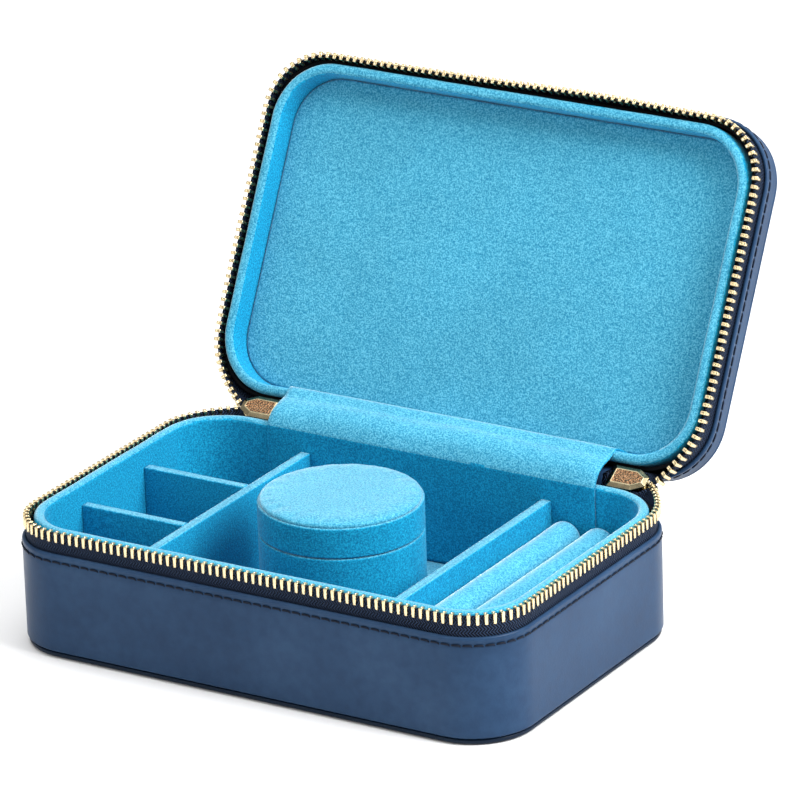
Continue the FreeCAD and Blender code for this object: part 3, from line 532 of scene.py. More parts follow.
PANEL_INSET = HALF_X - PANEL_HIGH[0]
PANEL_EDGE, PANEL_LIP = 0.7, 0.5
under = Build()
edge = arc(PANEL_INSET + PANEL_EDGE, PANEL_EDGE, PANEL_EDGE, -90, -180)
edge += arc(PANEL_INSET + PANEL_LIP, PANEL_HIGH[2] - PANEL_LIP, PANEL_LIP, 180, 90)
under.slab(case_path, edge, 0.0, PANEL_HIGH[2], 4)
under.finish("base_under_panel", SHADED_LEATHER, "base_bottom_panel")

TOP_SEAM, TOP_CROWN = 3.2, 0.5
lid_top_low = closed_levels("lid_top_leather")[0]
cover = Build()
edge = arc(0.25, lid_top_low + 0.25, 0.25, -90, -180, 3) + arc(1.1, LID_TOP - 1.1, 1.1, 180, 90, 7)
edge += [(TOP_SEAM - 0.8, LID_TOP), (TOP_SEAM - 0.3, LID_TOP - 0.18), (TOP_SEAM, LID_TOP - 0.24),
         (TOP_SEAM + 0.3, LID_TOP - 0.18), (TOP_SEAM + 0.9, LID_TOP + 0.04), (TOP_SEAM + 3.0, LID_TOP + 0.16)]
cover.slab(case_path, edge, lid_top_low, LID_TOP + TOP_CROWN, 12)
cover.finish("lid_top_cover", LEATHER, "lid_top_leather")


# one stitch, as (share of the pitch, height over the leather, rise)
STITCH_SHAPE = ((0.08, -0.30, -0.30), (0.14, -0.05, 0.0), (0.30, 0.18, 0.08), (0.55, 0.20, 0.14),
                (0.78, 0.16, 0.08), (0.90, 0.05, -0.18), (0.93, -0.15, -0.50), (0.94, -0.35, -0.62))
STITCH_SINK = 0.12
SIXTHS = [k * math.pi / 3 for k in range(6)]


def stitches(build, path, inset, level, side):
    """One row of lock stitches. side is 1 where the ends dip downwards, -1 upwards, 0 on a flat top."""
    total = path[-1][4] + math.dist(path[-1][:2], path[0][:2])
    count = round(total / STITCH_PITCH)
    pitch = total / count
    closed = path + [(*path[0][:4], total)]

    def at(travel):
        travel %= total
        for a, b in zip(closed, closed[1:]):
            if travel <= b[4]:
                share = (travel - a[4]) / (b[4] - a[4])
                return [a[k] + (b[k] - a[k]) * share for k in range(4)]
        return closed[-1][:4]

    for index in range(count):
        rows = []
        for share, proud, rise in STITCH_SHAPE:
            x, y, nx, ny = at((index + share) * pitch)
            outward, upward = Vector((nx, ny, 0)), Vector((0, 0, 1))
            place = Vector((x, y, level)) - outward * inset
            if side:
                centre = place + outward * (proud - STITCH_SINK) + upward * rise * side
                across, up = outward, upward
            else:
                centre = place - outward * rise + upward * (proud - STITCH_SINK)
                across, up = upward, outward
            rows.append([tuple(centre + STITCH_ROUND * (math.cos(a) * across + math.sin(a) * up))
                         for a in SIXTHS])
        build.tube(rows)


row = Build()
stitches(row, case_path, 0.0, BAND_TOP - STITCH_DROP, 1)
row.finish("base_stitching", THREAD, "base_side_leather", weighted=False, stands_for=False)
row = Build()
stitches(row, case_path, -LID_FLARE * 0.48, LID_BAND_LOW + STITCH_DROP, -1)
stitches(row, case_path, TOP_SEAM, LID_TOP, 0)
row.finish("lid_stitching", THREAD, "lid_side_leather", weighted=False, stands_for=False)

# ---------------------------------------------------------------- lining


SKIN, RIM_ROUND = 0.9, 1.5
SKIN_ROUND = RIM_ROUND - SKIN


def lined_rim_profile(low, high):
    """Suede wrapped over the rim's board: hidden outside, over the top, down the inside."""
    profile = [(0.0, low)] + arc(RIM_ROUND, high - RIM_ROUND, RIM_ROUND, 180, 90)
    profile += arc(RIM_WALL - RIM_ROUND, high - RIM_ROUND, RIM_ROUND, 90, 0)
    profile += [(RIM_WALL, (low + high) / 2), (RIM_WALL, low), (RIM_WALL - SKIN, low)]
    profile += arc(RIM_WALL - RIM_ROUND, high - RIM_ROUND, SKIN_ROUND, 0, 90, 3)
    profile += arc(RIM_ROUND, high - RIM_ROUND, SKIN_ROUND, 90, 180, 3)
    return profile + [(SKIN, low)]


rim_path = outline(RIM_X, RIM_Y, CORNER)
lining = Build()
lining.sweep(rim_path, lined_rim_profile(RIM_LOW[2], RIM_TOP))
lining.soften(0.10, 9.0, 1.0)
shade_sides(lining.finish("base_lined_wall", SUEDE, "base_lining_wall_suede"))

lid_rim_top = closed_levels("lid_lining_rim_suede")[1]
lining = Build()
profile = [(d, LID_RIM_LOW + lid_rim_top - z) for d, z in lined_rim_profile(LID_RIM_LOW, lid_rim_top)]
lining.sweep(rim_path, profile)
lining.soften(0.10, 9.0, 2.0)
made = lining.finish("lid_lined_rim", SUEDE, "lid_lining_rim_suede")
shade_sides(made, up=OPEN.to_3x3() @ Vector((0, 0, -1)))

inner_path = outline(INNER_X, INNER_Y, INNER_CORNER)
floor_low = box_mm("base_lining_floor")[0][2]
lining = Build()
edge = [(0.1, floor_low), (0.1, FLOOR_TOP - 0.8)] + arc(0.9, FLOOR_TOP - 0.8, 0.8, 180, 90, 4)
lining.slab(inner_path, edge, floor_low, FLOOR_TOP, 24)
lining.soften(0.06, 14.0, 3.0)
lining.finish("base_lined_floor", SUEDE, "base_lining_floor")

lining = Build()
edge = [(0.12, LID_PANEL_TOP), (0.12, LID_PANEL_LOW + 1.0)] + arc(1.12, LID_PANEL_LOW + 1.0, 1.0, 180, 270, 5)
lining.slab(inner_path, edge, LID_PANEL_TOP, LID_PANEL_LOW - 0.15, 24)
lining.soften(0.08, 16.0, 4.0)
lining.finish("lid_lined_panel", SUEDE, "lid_lining_panel")

DIVIDER_ROUND, DIVIDER_END = 0.55, 0.4
for name in ("divider_left_long", "divider_right_long", "divider_cross_front", "divider_cross_back"):
    low, high = box_mm(name)
    piece = Build()
    piece.add(*rounded_box(low, high, DIVIDER_ROUND, DIVIDER_END))
    shade_sides(piece.finish(name + "_wrapped", SUEDE, name))

# ---------------------------------------------------------------- padded pieces


CLOTH_FRAMES = 20
CLOTH_SCALE = 20 * MM  # the solver behaves better on a piece of everyday size


def puffed(points, faces, cap, pressure, pinned_under):
    """The closed form after a run of Blender's cloth, without gravity. Pressure pushes each face the way it
    looks: outwards on the capsule's pad, inwards on the rolls. Points under the level pinned_under stay, and
    no point moves over cap mm."""
    mesh = bpy.data.meshes.new("swelling")
    mesh.from_pydata([tuple(c * CLOTH_SCALE for c in p) for p in points], [], faces)
    obj = bpy.data.objects.new("swelling", mesh)
    bpy.context.scene.collection.objects.link(obj)
    modifier = obj.modifiers.new("Cloth", "CLOTH")
    settings = modifier.settings
    settings.quality = 6
    settings.mass = 0.4
    settings.tension_stiffness = settings.compression_stiffness = 30
    settings.shear_stiffness = 10
    settings.bending_stiffness = 1.5
    settings.use_pressure = True
    settings.uniform_pressure_force = pressure
    settings.effector_weights.gravity = 0.0
    pinned = [i for i, p in enumerate(points) if p[2] < pinned_under]
    obj.vertex_groups.new(name="held").add(pinned, 1.0, "REPLACE")
    settings.vertex_group_mass = "held"
    modifier.point_cache.frame_start, modifier.point_cache.frame_end = 1, CLOTH_FRAMES
    for number in range(1, CLOTH_FRAMES + 1):
        bpy.context.scene.frame_set(number)
    evaluated = obj.evaluated_get(bpy.context.evaluated_depsgraph_get())
    moved = []
    for start, vertex in zip(points, evaluated.data.vertices):
        step = vertex.co / CLOTH_SCALE - Vector(start)
        if step.length > cap:
            step *= cap / step.length
        moved.append(tuple(Vector(start) + step))
    bpy.data.objects.remove(obj)
    bpy.data.meshes.remove(mesh)
    bpy.context.scene.frame_set(1)
    return moved


ROLL_END, ROLL_FOOT, ROLL_KNEE = 2.4, 0.3, 6.0  # length of a soft end; heights over the roll's foot
ROLL_STEPS, CREST_STEPS = 44, 14


def roll_form(low, high):
    """A ring roll: a long cushion with a half-round crest and soft ends, as closed rows of points."""
    half, middle, length = (high[0] - low[0]) / 2, middle_x(low, high), high[1] - low[1]
    crest = high[2] - half
    ends = [0.0, 0.25, 0.7, 1.4, ROLL_END]
    stations = ends + [ROLL_END + (length - 2 * ROLL_END) * k / ROLL_STEPS for k in range(1, ROLL_STEPS)]
    stations += [length - v for v in ends[::-1]]
    rows = []
    for station in stations:
        away = min(station, length - station)
        reach = half * (1 - 0.42 * max(0.0, 1 - away / ROLL_END) ** 2.2)
        left, right = middle - reach, middle + reach
        ring = [(left, low[2] + ROLL_FOOT), (left, low[2] + ROLL_KNEE)]
        ring += arc(middle, crest, reach, 180, 0, CREST_STEPS)
        ring += [(right, low[2] + ROLL_KNEE), (right, low[2] + ROLL_FOOT), (middle, low[2] + ROLL_FOOT)]
        rows.append([(x, low[1] + station, z) for x, z in ring])
    build = Build()
    build.tube(rows)
    return build


SHRINK, END_SHRINK = 0.2, 0.4
for name in ("ring_roll_inner", "ring_roll_middle", "ring_roll_outer"):
    low, high = box_mm(name)
    roll = roll_form([low[0] + SHRINK, low[1] + END_SHRINK, low[2]],
                     [high[0] - SHRINK, high[1] - END_SHRINK, high[2] - SHRINK])
    roll.points = puffed(roll.points, roll.faces, 0.5, 3.0, low[2] + 0.5)
    roll.soften(0.12, 7.0, 5.0 + low[0])
    made = roll.finish(name + "_cushion", SUEDE, name, weighted=False)
    made.modifiers.new("smooth", "SUBSURF").render_levels = 1

foam_low, foam_high = closed_levels("lid_padding")
foam = Build()
edge = [(0.3, foam_low), (0.1, (foam_low + foam_high) / 2), (0.3, foam_high)]
foam.slab(inner_path, edge, foam_low, foam_high, 10)
foam.soften(0.05, 12.0, 6.0)
made = foam.finish("lid_foam_sheet", FOAM, "lid_padding")

# ---------------------------------------------------------------- capsule

shell_low, shell_high = box_mm("capsule_base_shell")
CAPSULE_X, CAPSULE_Y = middle_x(shell_low, shell_high), (shell_low[1] + shell_high[1]) / 2
CAPSULE_R, CAPSULE_WALL = (shell_high[0] - shell_low[0]) / 2, 2.0
INSIDE_R, AXIS_R = CAPSULE_R - CAPSULE_WALL, 0.01
cup_floor = box_mm("capsule_base_lining")[0][2]


def wrapped_wall(low, high, low_round, high_round):
    """The outside of a wrapped round wall, with softly rounded corners, from foot to top."""
    return (arc(CAPSULE_R - low_round, low + low_round, low_round, -90, 0, 5) + [(CAPSULE_R, (low + high) / 2)]
            + arc(CAPSULE_R - high_round, high - high_round, high_round, 0, 90, 5))


def turned_piece(name, node, profile, softness, seed):
    shell = Build()
    shell.lathe(CAPSULE_X, CAPSULE_Y, profile)
    shell.soften(softness, 8.0, seed)
    return shell.finish(name, SUEDE, node)


low, high = shell_low[2], shell_high[2]
profile = [(AXIS_R, low)] + wrapped_wall(low, high, 1.3, 0.75)
profile += [(INSIDE_R, high - 0.05), (INSIDE_R, cup_floor), (AXIS_R, cup_floor)]
shade_sides(turned_piece("capsule_cup", "capsule_base_shell", profile, 0.09, 7.0))

NECK_THICK = 1.2
low, high = box_mm("capsule_neck")
outer = (high[0] - low[0]) / 2
profile = [(outer - NECK_THICK, low[2]), (outer, low[2])]
profile += arc(outer - NECK_THICK / 2, high[2] - NECK_THICK / 2, NECK_THICK / 2, 0, 180, 8)
profile += [(outer - NECK_THICK, (low[2] + high[2]) / 2)]
turned_piece("capsule_collar", "capsule_neck", profile, 0.04, 8.0)

low, high = [corner[2] for corner in box_mm("capsule_lid_shell")]
under_lid = box_mm("capsule_lid_lining")[1][2]
profile = [(AXIS_R, under_lid), (INSIDE_R, under_lid), (INSIDE_R, low + 0.05)]
profile += wrapped_wall(low, high, 0.75, 0.7) + [(AXIS_R, high)]
shade_sides(turned_piece("capsule_lid_band", "capsule_lid_shell", profile, 0.09, 9.0))

PAD_EDGE, PAD_INSET, PAD_STEPS = 1.25, 0.35, 120
low, high = box_mm("capsule_lid_pad")
pad_round = (high[0] - low[0]) / 2
disc = []
for k in range(PAD_STEPS):
    angle = 2 * math.pi * k / PAD_STEPS
    nx, ny = math.cos(angle), math.sin(angle)
    disc.append((pad_round * nx, pad_round * ny, nx, ny, pad_round * angle))
edge = [(PAD_INSET, low[2] + 0.02)] + arc(PAD_EDGE, high[2] - PAD_INSET - PAD_EDGE, PAD_EDGE, 180, 90, 6)
pad = Build()
pad.slab(disc, edge, low[2] + 0.02, high[2] - 0.25, 14)
pad.points = puffed(pad.points, pad.faces, 0.35, 2.0, low[2] + 0.1)
pad.moved(lambda x, y, z: (x + CAPSULE_X, y + CAPSULE_Y, z))
pad.soften(0.08, 9.0, 10.0)
made = pad.finish("capsule_top_pad", SUEDE, "capsule_lid_pad", weighted=False)

# ---------------------------------------------------------------- hinge flap and hinge leather


def beyond(a, b):
    return [2 * p - q for p, q in zip(a, b)]


def smooth_line(points, step):
    """A Catmull-Rom line through flat points, sampled about every step mm."""
    p = [beyond(points[0], points[1]), *points, beyond(points[-1], points[-2])]
    line = []
    for k in range(1, len(p) - 2):
        count = max(2, round(math.dist(p[k], p[k + 1]) / step))
        for s in range(count):
            t = s / count
            line.append(tuple(0.5 * (2 * p[k][i] + (p[k + 1][i] - p[k - 1][i]) * t
                                     + (2 * p[k - 1][i] - 5 * p[k][i] + 4 * p[k + 1][i] - p[k + 2][i]) * t * t
                                     + (3 * p[k][i] - p[k - 1][i] - 3 * p[k + 1][i] + p[k + 2][i]) * t ** 3)
                              for i in range(2)))
    return line + [tuple(points[-1])]


def closed_point(y, z):
    moved = OPEN @ Vector((0, y, z))
    return moved.y, moved.z


def line_normals(line):
    normals = []
    for k in range(len(line)):
        a, b = line[max(0, k - 1)], line[min(len(line) - 1, k + 1)]
        size = math.dist(a, b)
        normals.append((-(b[1] - a[1]) / size, (b[0] - a[0]) / size))
    return normals


STRIP_COLUMNS = 70


def cloth_strip(line, half_width, thick, sway):
    """A strip across the case that follows line, with thickness. sway(x, share) moves a point, in mm."""
    lengths, normals = travel_of(line), line_normals(line)
    build = Build()
    xs = [-half_width + 2 * half_width * c / STRIP_COLUMNS for c in range(STRIP_COLUMNS + 1)]
    sheets = []
    for side in (1, -1):
        rows = []
        for x in xs:
            row = []
            for k, (y, z) in enumerate(line):
                off, slide = sway(x, lengths[k] / lengths[-1])
                reach = off + side * thick / 2
                row.append((HINGE_MIDDLE + x + slide, y + normals[k][0] * reach, z + normals[k][1] * reach))
            rows.append(row)
        sheets.append(build.grid(rows, False, False, xs, lengths))
    top, under_side = sheets
    width = len(line)
    for start in (0, STRIP_COLUMNS * width):
        for k in range(start, start + width - 1):
            build.faces.append([top + k, under_side + k, under_side + k + 1, top + k + 1])
            build.uvs.append([(0, lengths[k - start])] * 4)
    for end in (0, width - 1):
        for c in range(STRIP_COLUMNS):
            a, b = c * width + end, (c + 1) * width + end
            build.faces.append([top + a, under_side + a, under_side + b, top + b])
            build.uvs.append([(xs[c], 0)] * 4)
    return build, lengths[-1]


flap_low, flap_high = box_mm("hinge_flap_suede")
HINGE_MIDDLE = middle_x(flap_low, flap_high)
FLAP_THICK, FLAP_HALF = 0.8, (flap_high[0] - flap_low[0]) / 2
wall_y = INNER_Y - FLAP_THICK / 2 - 0.05
flap_line = smooth_line([
    (wall_y, FLOOR_TOP + 0.4), (wall_y, 20.0), (wall_y, 34.0), (wall_y, RIM_TOP - 2.0),
    (wall_y + 0.05, RIM_TOP - 0.2), (wall_y + 0.75, RIM_TOP + 1.2), (wall_y + 3.2, RIM_TOP + 4.4),
    (wall_y + 7.2, RIM_TOP + 6.7), (wall_y + 11.4, RIM_TOP + 7.35),
    closed_point(wall_y + 1.2, LID_RIM_LOW - 0.55), closed_point(wall_y + 0.1, LID_RIM_LOW + 0.6),
    closed_point(wall_y - 0.2, LID_RIM_LOW + 2.2), closed_point(wall_y - 0.05, LID_RIM_LOW + 5.0),
    closed_point(wall_y, LID_PANEL_LOW - 0.5)], 1.0)


def flap_sway(x, share):
    """Slack over the hinge: the free span waves a little and its side edges draw in."""
    free = math.exp(-((share - 0.76) / 0.10) ** 2)
    wave = 0.35 * math.sin(x / 17.0 + 1.0) + 0.2 * math.sin(x / 7.3)
    edge_droop = -0.9 * (abs(x) / FLAP_HALF) ** 8
    return free * (wave + edge_droop), -free * 0.5 * (x / FLAP_HALF) ** 5


build, flap_length = cloth_strip(flap_line, FLAP_HALF, FLAP_THICK, flap_sway)
build.soften(0.05, 6.0, 11.0)
flap = build.finish("hinge_flap_cloth", SUEDE, "hinge_flap_suede", bends=True)
shade_sides(flap, 0.3)
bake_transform(flap)

SPINE_THICK, SPINE_HALF = 0.6, box_mm("hinge_spine_leather")[1][0] - HINGE_MIDDLE
layer = HALF_Y - BAND_THICK - SPINE_THICK / 2
spine_line = smooth_line([
    (layer, box_mm("hinge_spine_leather")[0][2]), (layer, BAND_TOP - 1.0), (layer + 0.15, BAND_TOP + 1.0),
    (layer + 1.6, HINGE_Z - 4.0), (HINGE_Y - 0.9, HINGE_Z - 1.1),
    closed_point(HINGE_Y - 0.9, HINGE_Z + 1.1), closed_point(layer + 1.6, HINGE_Z + 4.0),
    closed_point(layer + 0.15, LID_BAND_LOW - 1.0), closed_point(layer, LID_BAND_LOW + 1.0),
    closed_point(layer, closed_levels("lid_zip_tape")[1])], 1.0)


def spine_sway(x, share):
    return 0.12 * math.sin(x / 11.0) * math.exp(-((share - 0.5) / 0.15) ** 2), 0.0


build, spine_length = cloth_strip(spine_line, SPINE_HALF, SPINE_THICK, spine_sway)
spine = build.finish("hinge_spine_strip", LEATHER, "hinge_spine_leather", bends=True)
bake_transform(spine)

# ---------------------------------------------------------------- zip

TOOTH_PITCH, TOOTH_TALL, LINE_INSET = 2.8, 3.6, 1.7
TIP_GAP = {False: 1.3, True: 0.7}  # base, lid
SLIDER_DROP, SLIDER_BACK = 0.4, 1.2
NOSE_PAST_SLIDER, NOSE_BACK = 0.9, 0.6
NOSE_X = {side: abs(box_mm(f"zip_slider_{where}")[side > 0][0]) + NOSE_PAST_SLIDER
          for side, where in ((-1, "left"), (1, "right"))}
NOSE_Y = HINGE_Y + NOSE_BACK
CORNER_X, CORNER_Y = HALF_X - CORNER, HALF_Y - CORNER
LINE_BEND = CORNER - LINE_INSET
BULGE_POWER = 3.2
LEAN_END = math.radians(26.0)
FRONT_STEPS, BEND_STEPS, SIDE_STEPS, NOSE_STEPS = 108, 45, 110, 60
SPLAY_LENGTH = 9.0


def chain_half(nose_x):
    """Half of the chain's line, from the middle of the front to a slider's nose: (x, y, heading, lean)."""
    front = [(CORNER_X * k / FRONT_STEPS, -HALF_Y + LINE_INSET, 0.0) for k in range(FRONT_STEPS)]
    corner = [(CORNER_X + LINE_BEND * math.sin(a), -CORNER_Y - LINE_BEND * math.cos(a), a)
              for a in [math.pi / 2 * k / BEND_STEPS for k in range(BEND_STEPS)]]
    side = [(HALF_X - LINE_INSET, -CORNER_Y + 2 * CORNER_Y * k / SIDE_STEPS, math.pi / 2)
            for k in range(SIDE_STEPS)]
    line = [(x, y, heading, 0.0) for x, y, heading in front + corner + side]
    end_angle = math.atan2(NOSE_Y - CORNER_Y, nose_x - CORNER_X)
    growth = math.hypot(NOSE_Y - CORNER_Y, nose_x - CORNER_X) - LINE_BEND
    for k in range(NOSE_STEPS + 1):
        share = k / NOSE_STEPS
        angle = end_angle * share
        radius = LINE_BEND + growth * share ** BULGE_POWER
        slope = growth * BULGE_POWER * share ** (BULGE_POWER - 1) / end_angle
        heading = math.pi / 2 + angle - math.atan2(slope, radius)
        lean = LEAN_END * max(0.0, (share - 0.45) / 0.55) ** 2
        line.append((CORNER_X + radius * math.cos(angle), CORNER_Y + radius * math.sin(angle), heading, lean))
    return line


def evenly(line, pitch, first):
    """Places along a line every pitch mm."""
    places, travel, target = [], 0.0, first
    for a, b in zip(line, line[1:]):
        length = math.dist(a[:2], b[:2])
        while travel + length >= target:
            share = (target - travel) / length
            places.append([a[i] + (b[i] - a[i]) * share for i in range(4)])
            target += pitch
        travel += length
    return places


def inset_loop(points, amount):
    """A closed flat loop of points moved inwards, to the left of its direction, by about amount."""
    out = []
    for k, p in enumerate(points):
        a, b = points[k - 1], points[(k + 1) % len(points)]
        way = Vector((b[0] - a[0], b[1] - a[1])).normalized()
        out.append((p[0] - way.y * amount, p[1] + way.x * amount))
    return out


def tooth_form():
    """One cast tooth in its own frame: x along the chain, y outwards, z up from its feet. Points and faces."""
    deep, edge = 1.1, 0.13

    def section(outer, inner, level, trim=0.0):
        """A loop round the tooth at one level, whose half width is outer outside and inner inside."""
        loop = [(-inner, 0.0), (-inner, -0.55), (-inner, edge - deep), (edge - inner, -deep),
                (inner - edge, -deep), (inner, edge - deep), (inner, -0.55), (inner, 0.0), (outer, 0.25),
                (outer, deep - edge), (outer - edge, deep), (edge - outer, deep), (-outer, deep - edge),
                (-outer, 0.25)]
        return [(x, y, level) for x, y in inset_loop(loop, trim)]

    rows = [section(0.56, 0.50, 0.0, 0.10), section(0.56, 0.50, 0.10), section(0.56, 0.50, 1.55),
            section(0.56, 0.30, 1.95), section(0.56, 0.30, 2.20), section(0.60, 0.60, 2.55),
            section(0.62, 0.62, TOOTH_TALL - 0.12), section(0.62, 0.62, TOOTH_TALL - 0.03, 0.04),
            section(0.62, 0.62, TOOTH_TALL, 0.13)]
    for reach, level in ((0.34, TOOTH_TALL), (0.27, TOOTH_TALL - 0.10), (0.20, TOOTH_TALL - 0.32)):
        angles = [math.atan2(y, x) for x, y, _ in rows[0]]
        rows.append([(reach * math.cos(a), reach * math.sin(a) - 0.25, level) for a in angles])
    build = Build()
    build.tube(rows)
    return build.points, build.faces


TOOTH_POINTS, TOOTH_FACES = tooth_form()


def splay(x, y, lid):
    """How far the loose tape leans out at the teeth, in mm, by place on the case."""
    if not lid:
        return 0.0
    behind = min(1.0, max(0.0, (CORNER_Y + 12.0 - y) / 24.0))
    front = min(1.0, max(0.0, (-y - 36.0) / 20.0))
    return behind * (1.1 + 0.7 * (x > 0) * (1 - front) + 1.2 * front * math.exp(-((x - 30.0) / 34.0) ** 2))


def chain_frame(place, side, lid):
    """Axes of a tooth (along the chain, outwards, up) and the middle of its feet. side is -1 on the left."""
    x, y, heading, lean = place
    along = Vector((math.cos(heading), math.sin(heading), 0))
    outward = Vector((math.sin(heading), -math.cos(heading), 0))
    out = splay(side * x, y, lid)
    tip = Vector((x, y, HINGE_Z - TIP_GAP[lid])) + outward * out
    leaned = Matrix.Rotation(-lean + math.atan2(out, SPLAY_LENGTH), 3, along)
    outward, up = leaned @ outward, leaned @ Vector((0, 0, 1))
    foot = tip - up * TOOTH_TALL
    if side < 0:
        along, outward, up, foot = [Vector((-v.x, v.y, v.z)) for v in (along, outward, up, foot)]
        along = -along
    return along, outward, up, foot


CHAIN = {side: chain_half(NOSE_X[side]) for side in (-1, 1)}


def teeth(lid):
    build = Build()
    for side in (-1, 1):
        for place in evenly(CHAIN[side], TOOTH_PITCH, TOOTH_PITCH / 2):
            along, outward, up, foot = chain_frame(place, side, lid)
            points = [tuple(foot + along * x + outward * y + up * z) for x, y, z in TOOTH_POINTS]
            build.add(points, TOOTH_FACES)
    return build


def to_lid(build):
    """The lid's half of the zip is drawn as the base's, then mirrored in the closing plane."""
    return build.moved(lambda x, y, z: (x, y, 2 * HINGE_Z - z))


teeth(False).finish("base_zip_chain", GOLD, "base_zip_teeth", weighted=False)
to_lid(teeth(True)).finish("lid_zip_chain", GOLD, "lid_zip_teeth", weighted=False)

TAPE_THICK, TAPE_BOTTOM, TAPE_LOW, TAPE_STEP = 0.55, 30.0, 34.0, 1.4
TAPE_RISE = {False: 3.1, True: 2.3}  # base, lid: how far the tape reaches up a tooth
SLOT_DEPTH = 4.1
PAST_NOSE = (1.3, 2.9, 4.5, 6.3, 8.3, 10.3, 12.3, 14.3, 16.4, 18.2)  # rows behind the nose, through the slider
SLIDER_TAIL = 12.0


def tape_rows(side, lid):
    """Rows of one half: where the tape leaves the band, its way there, its top edge, and its way there."""
    rows = []
    for place in evenly(CHAIN[side], TAPE_STEP, 0.0):
        _, outward, up, foot = chain_frame(place, side, lid)
        x, y = place[:2]
        if y > CORNER_Y:
            angle = math.atan2(y - CORNER_Y, x - CORNER_X)
            normal = Vector((side * math.cos(angle), math.sin(angle), 0))
            root = Vector((side * CORNER_X, CORNER_Y, 0)) + normal * LINE_BEND
        else:
            root, normal = Vector((side * x, y, 0)), Vector((outward.x, outward.y, 0)).normalized()
        if lid:
            root += normal * LID_FLARE * 0.7
        rows.append((root, normal, foot + up * TAPE_RISE[lid], outward))
    slot = HALF_OPEN @ Vector((0, HINGE_Y + SLIDER_BACK, HINGE_Z - SLOT_DEPTH))
    last_top, behind = rows[-1][2], Vector((0, 1, 0))
    for back in PAST_NOSE:
        x = side * (NOSE_X[side] - back)
        top = last_top.lerp(Vector((x, slot.y, slot.z)), min(1.0, back / 3.0))
        if back > SLIDER_TAIL:
            top = Vector((x, HINGE_Y - 0.1, HINGE_Z - 0.05))
        top.x = x
        rows.append((Vector((x, HALF_Y - LINE_INSET, 0)), behind, top, behind))
    return rows


def tape_build(lid):
    """Tape from inside the side band up to the teeth's feet, and behind each slider to the hinge leather."""
    places, rows = tape_rows(-1, lid)[:0:-1] + tape_rows(1, lid), []
    for root, normal, top, outward in places:
        foot, low, knee = [Vector((root.x, root.y, z)) for z in (TAPE_BOTTOM, TAPE_LOW, BAND_TOP + 0.4)]
        centre = [foot, low, knee,
                  knee.lerp(top, 0.33) + normal * 0.12, knee.lerp(top, 0.66) + normal * 0.08, top]
        ways = [normal, normal, normal, normal, outward, outward]
        ring = [c + w * TAPE_THICK / 2 for c, w in zip(centre, ways)]
        ring += [c - w * TAPE_THICK / 2 for c, w in zip(centre[::-1], ways[::-1])]
        rows.append([tuple(p) for p in ring])
    build = Build()
    across = travel_of(rows[len(rows) // 2][:6])
    build.tube(rows, travel_of([place[2] for place in places]), across + across[::-1])
    return build


tape_build(False).finish("base_zip_tape_woven", TAPE, "base_zip_tape")
to_lid(tape_build(True)).finish("lid_zip_tape_woven", TAPE, "lid_zip_tape")

for name, home in (("base_zip_stops", Matrix()), ("lid_zip_stops", CLOSE)):
    points = [home @ (v.co / MM) for v in frame["nodes"][name].data.vertices]
    build = Build()
    for side in (-1, 1):
        mine = [p for p in points if p.x * side > 0]
        low, high = [[limit(p[i] for p in mine) for i in range(3)] for limit in (min, max)]
        build.add(*rounded_box(low, high, 0.4, 0.4, 3))
    build.finish(name + "_cast", GOLD, name)

# ---------------------------------------------------------------- sliders and pulls

BODY_LONG, NOSE_LONG, SLIDER_WIDE, NOSE_WIDE, GAP, PLATE, RIM = 10.4, 4.0, 9.0, 4.0, 2.8, 1.0, 0.4
BRIDGE_REACH, BAR_ROUND, WINDOW, FIELD_INSET = 2.5, 0.6, 3.6, 1.75
TAIL = -(BODY_LONG + NOSE_LONG) / 2
SHOULDER = TAIL + BODY_LONG - 0.4


def plate_outline(inset):
    """Slider plate seen flat, in its own (x, z): square body, tapered nose, rounded corners, and an inset."""
    corners = [(TAIL, -SLIDER_WIDE / 2, 0.8), (SHOULDER, -SLIDER_WIDE / 2, 0.9), (-TAIL, -NOSE_WIDE / 2, 0.7),
               (-TAIL, NOSE_WIDE / 2, 0.7), (SHOULDER, SLIDER_WIDE / 2, 0.9), (TAIL, SLIDER_WIDE / 2, 0.8)]
    points = []
    for k, (x, z, radius) in enumerate(corners):
        here = Vector((x, z))
        a = (Vector(corners[k - 1][:2]) - here).normalized()
        b = (Vector(corners[(k + 1) % 6][:2]) - here).normalized()
        half = a.angle(b) / 2
        inwards = (a + b).normalized()
        here += inwards * inset / math.sin(half)
        radius = max(0.3, radius - inset)
        run = radius / math.tan(half)
        centre = here + inwards * radius / math.sin(half)
        start, end = here + a * run - centre, here + b * run - centre
        turn = start.angle_signed(end)
        for s in range(7):
            point = centre + Matrix.Rotation(-turn * s / 6, 2) @ start
            points.append((point.x, point.y))
    return points


def plate(build, outside):
    """One plate, with its bevel, rim and domed field. Gives the field's faces, which are hammered."""
    levels = [(0.06, 0.0), (0.0, 0.06), (0.0, RIM - 0.06), (0.06, RIM), (FIELD_INSET - 0.32, PLATE - 0.14),
              (FIELD_INSET - 0.26, PLATE - 0.02), (FIELD_INSET - 0.18, PLATE), (FIELD_INSET + 0.02, PLATE),
              (FIELD_INSET + 0.08, PLATE - 0.03), (FIELD_INSET + 0.20, PLATE - 0.17)]
    rows = [[(x, (GAP / 2 + rise) * outside, z) for x, z in plate_outline(inset)] for inset, rise in levels]
    field = rows[-1]
    middle = sum(p[0] for p in field) / len(field)
    domes = ((0.75, 0.03), (0.5, 0.05), (0.25, 0.06), (0.04, 0.06))
    for share, rise in domes:
        rows.append([(middle + (x - middle) * share, y + rise * outside, z * share) for x, y, z in field])
    build.tube(rows)
    top = len(build.faces) - 1
    return [*range(top - 1 - (len(domes) + 1) * len(field), top - 1), top]


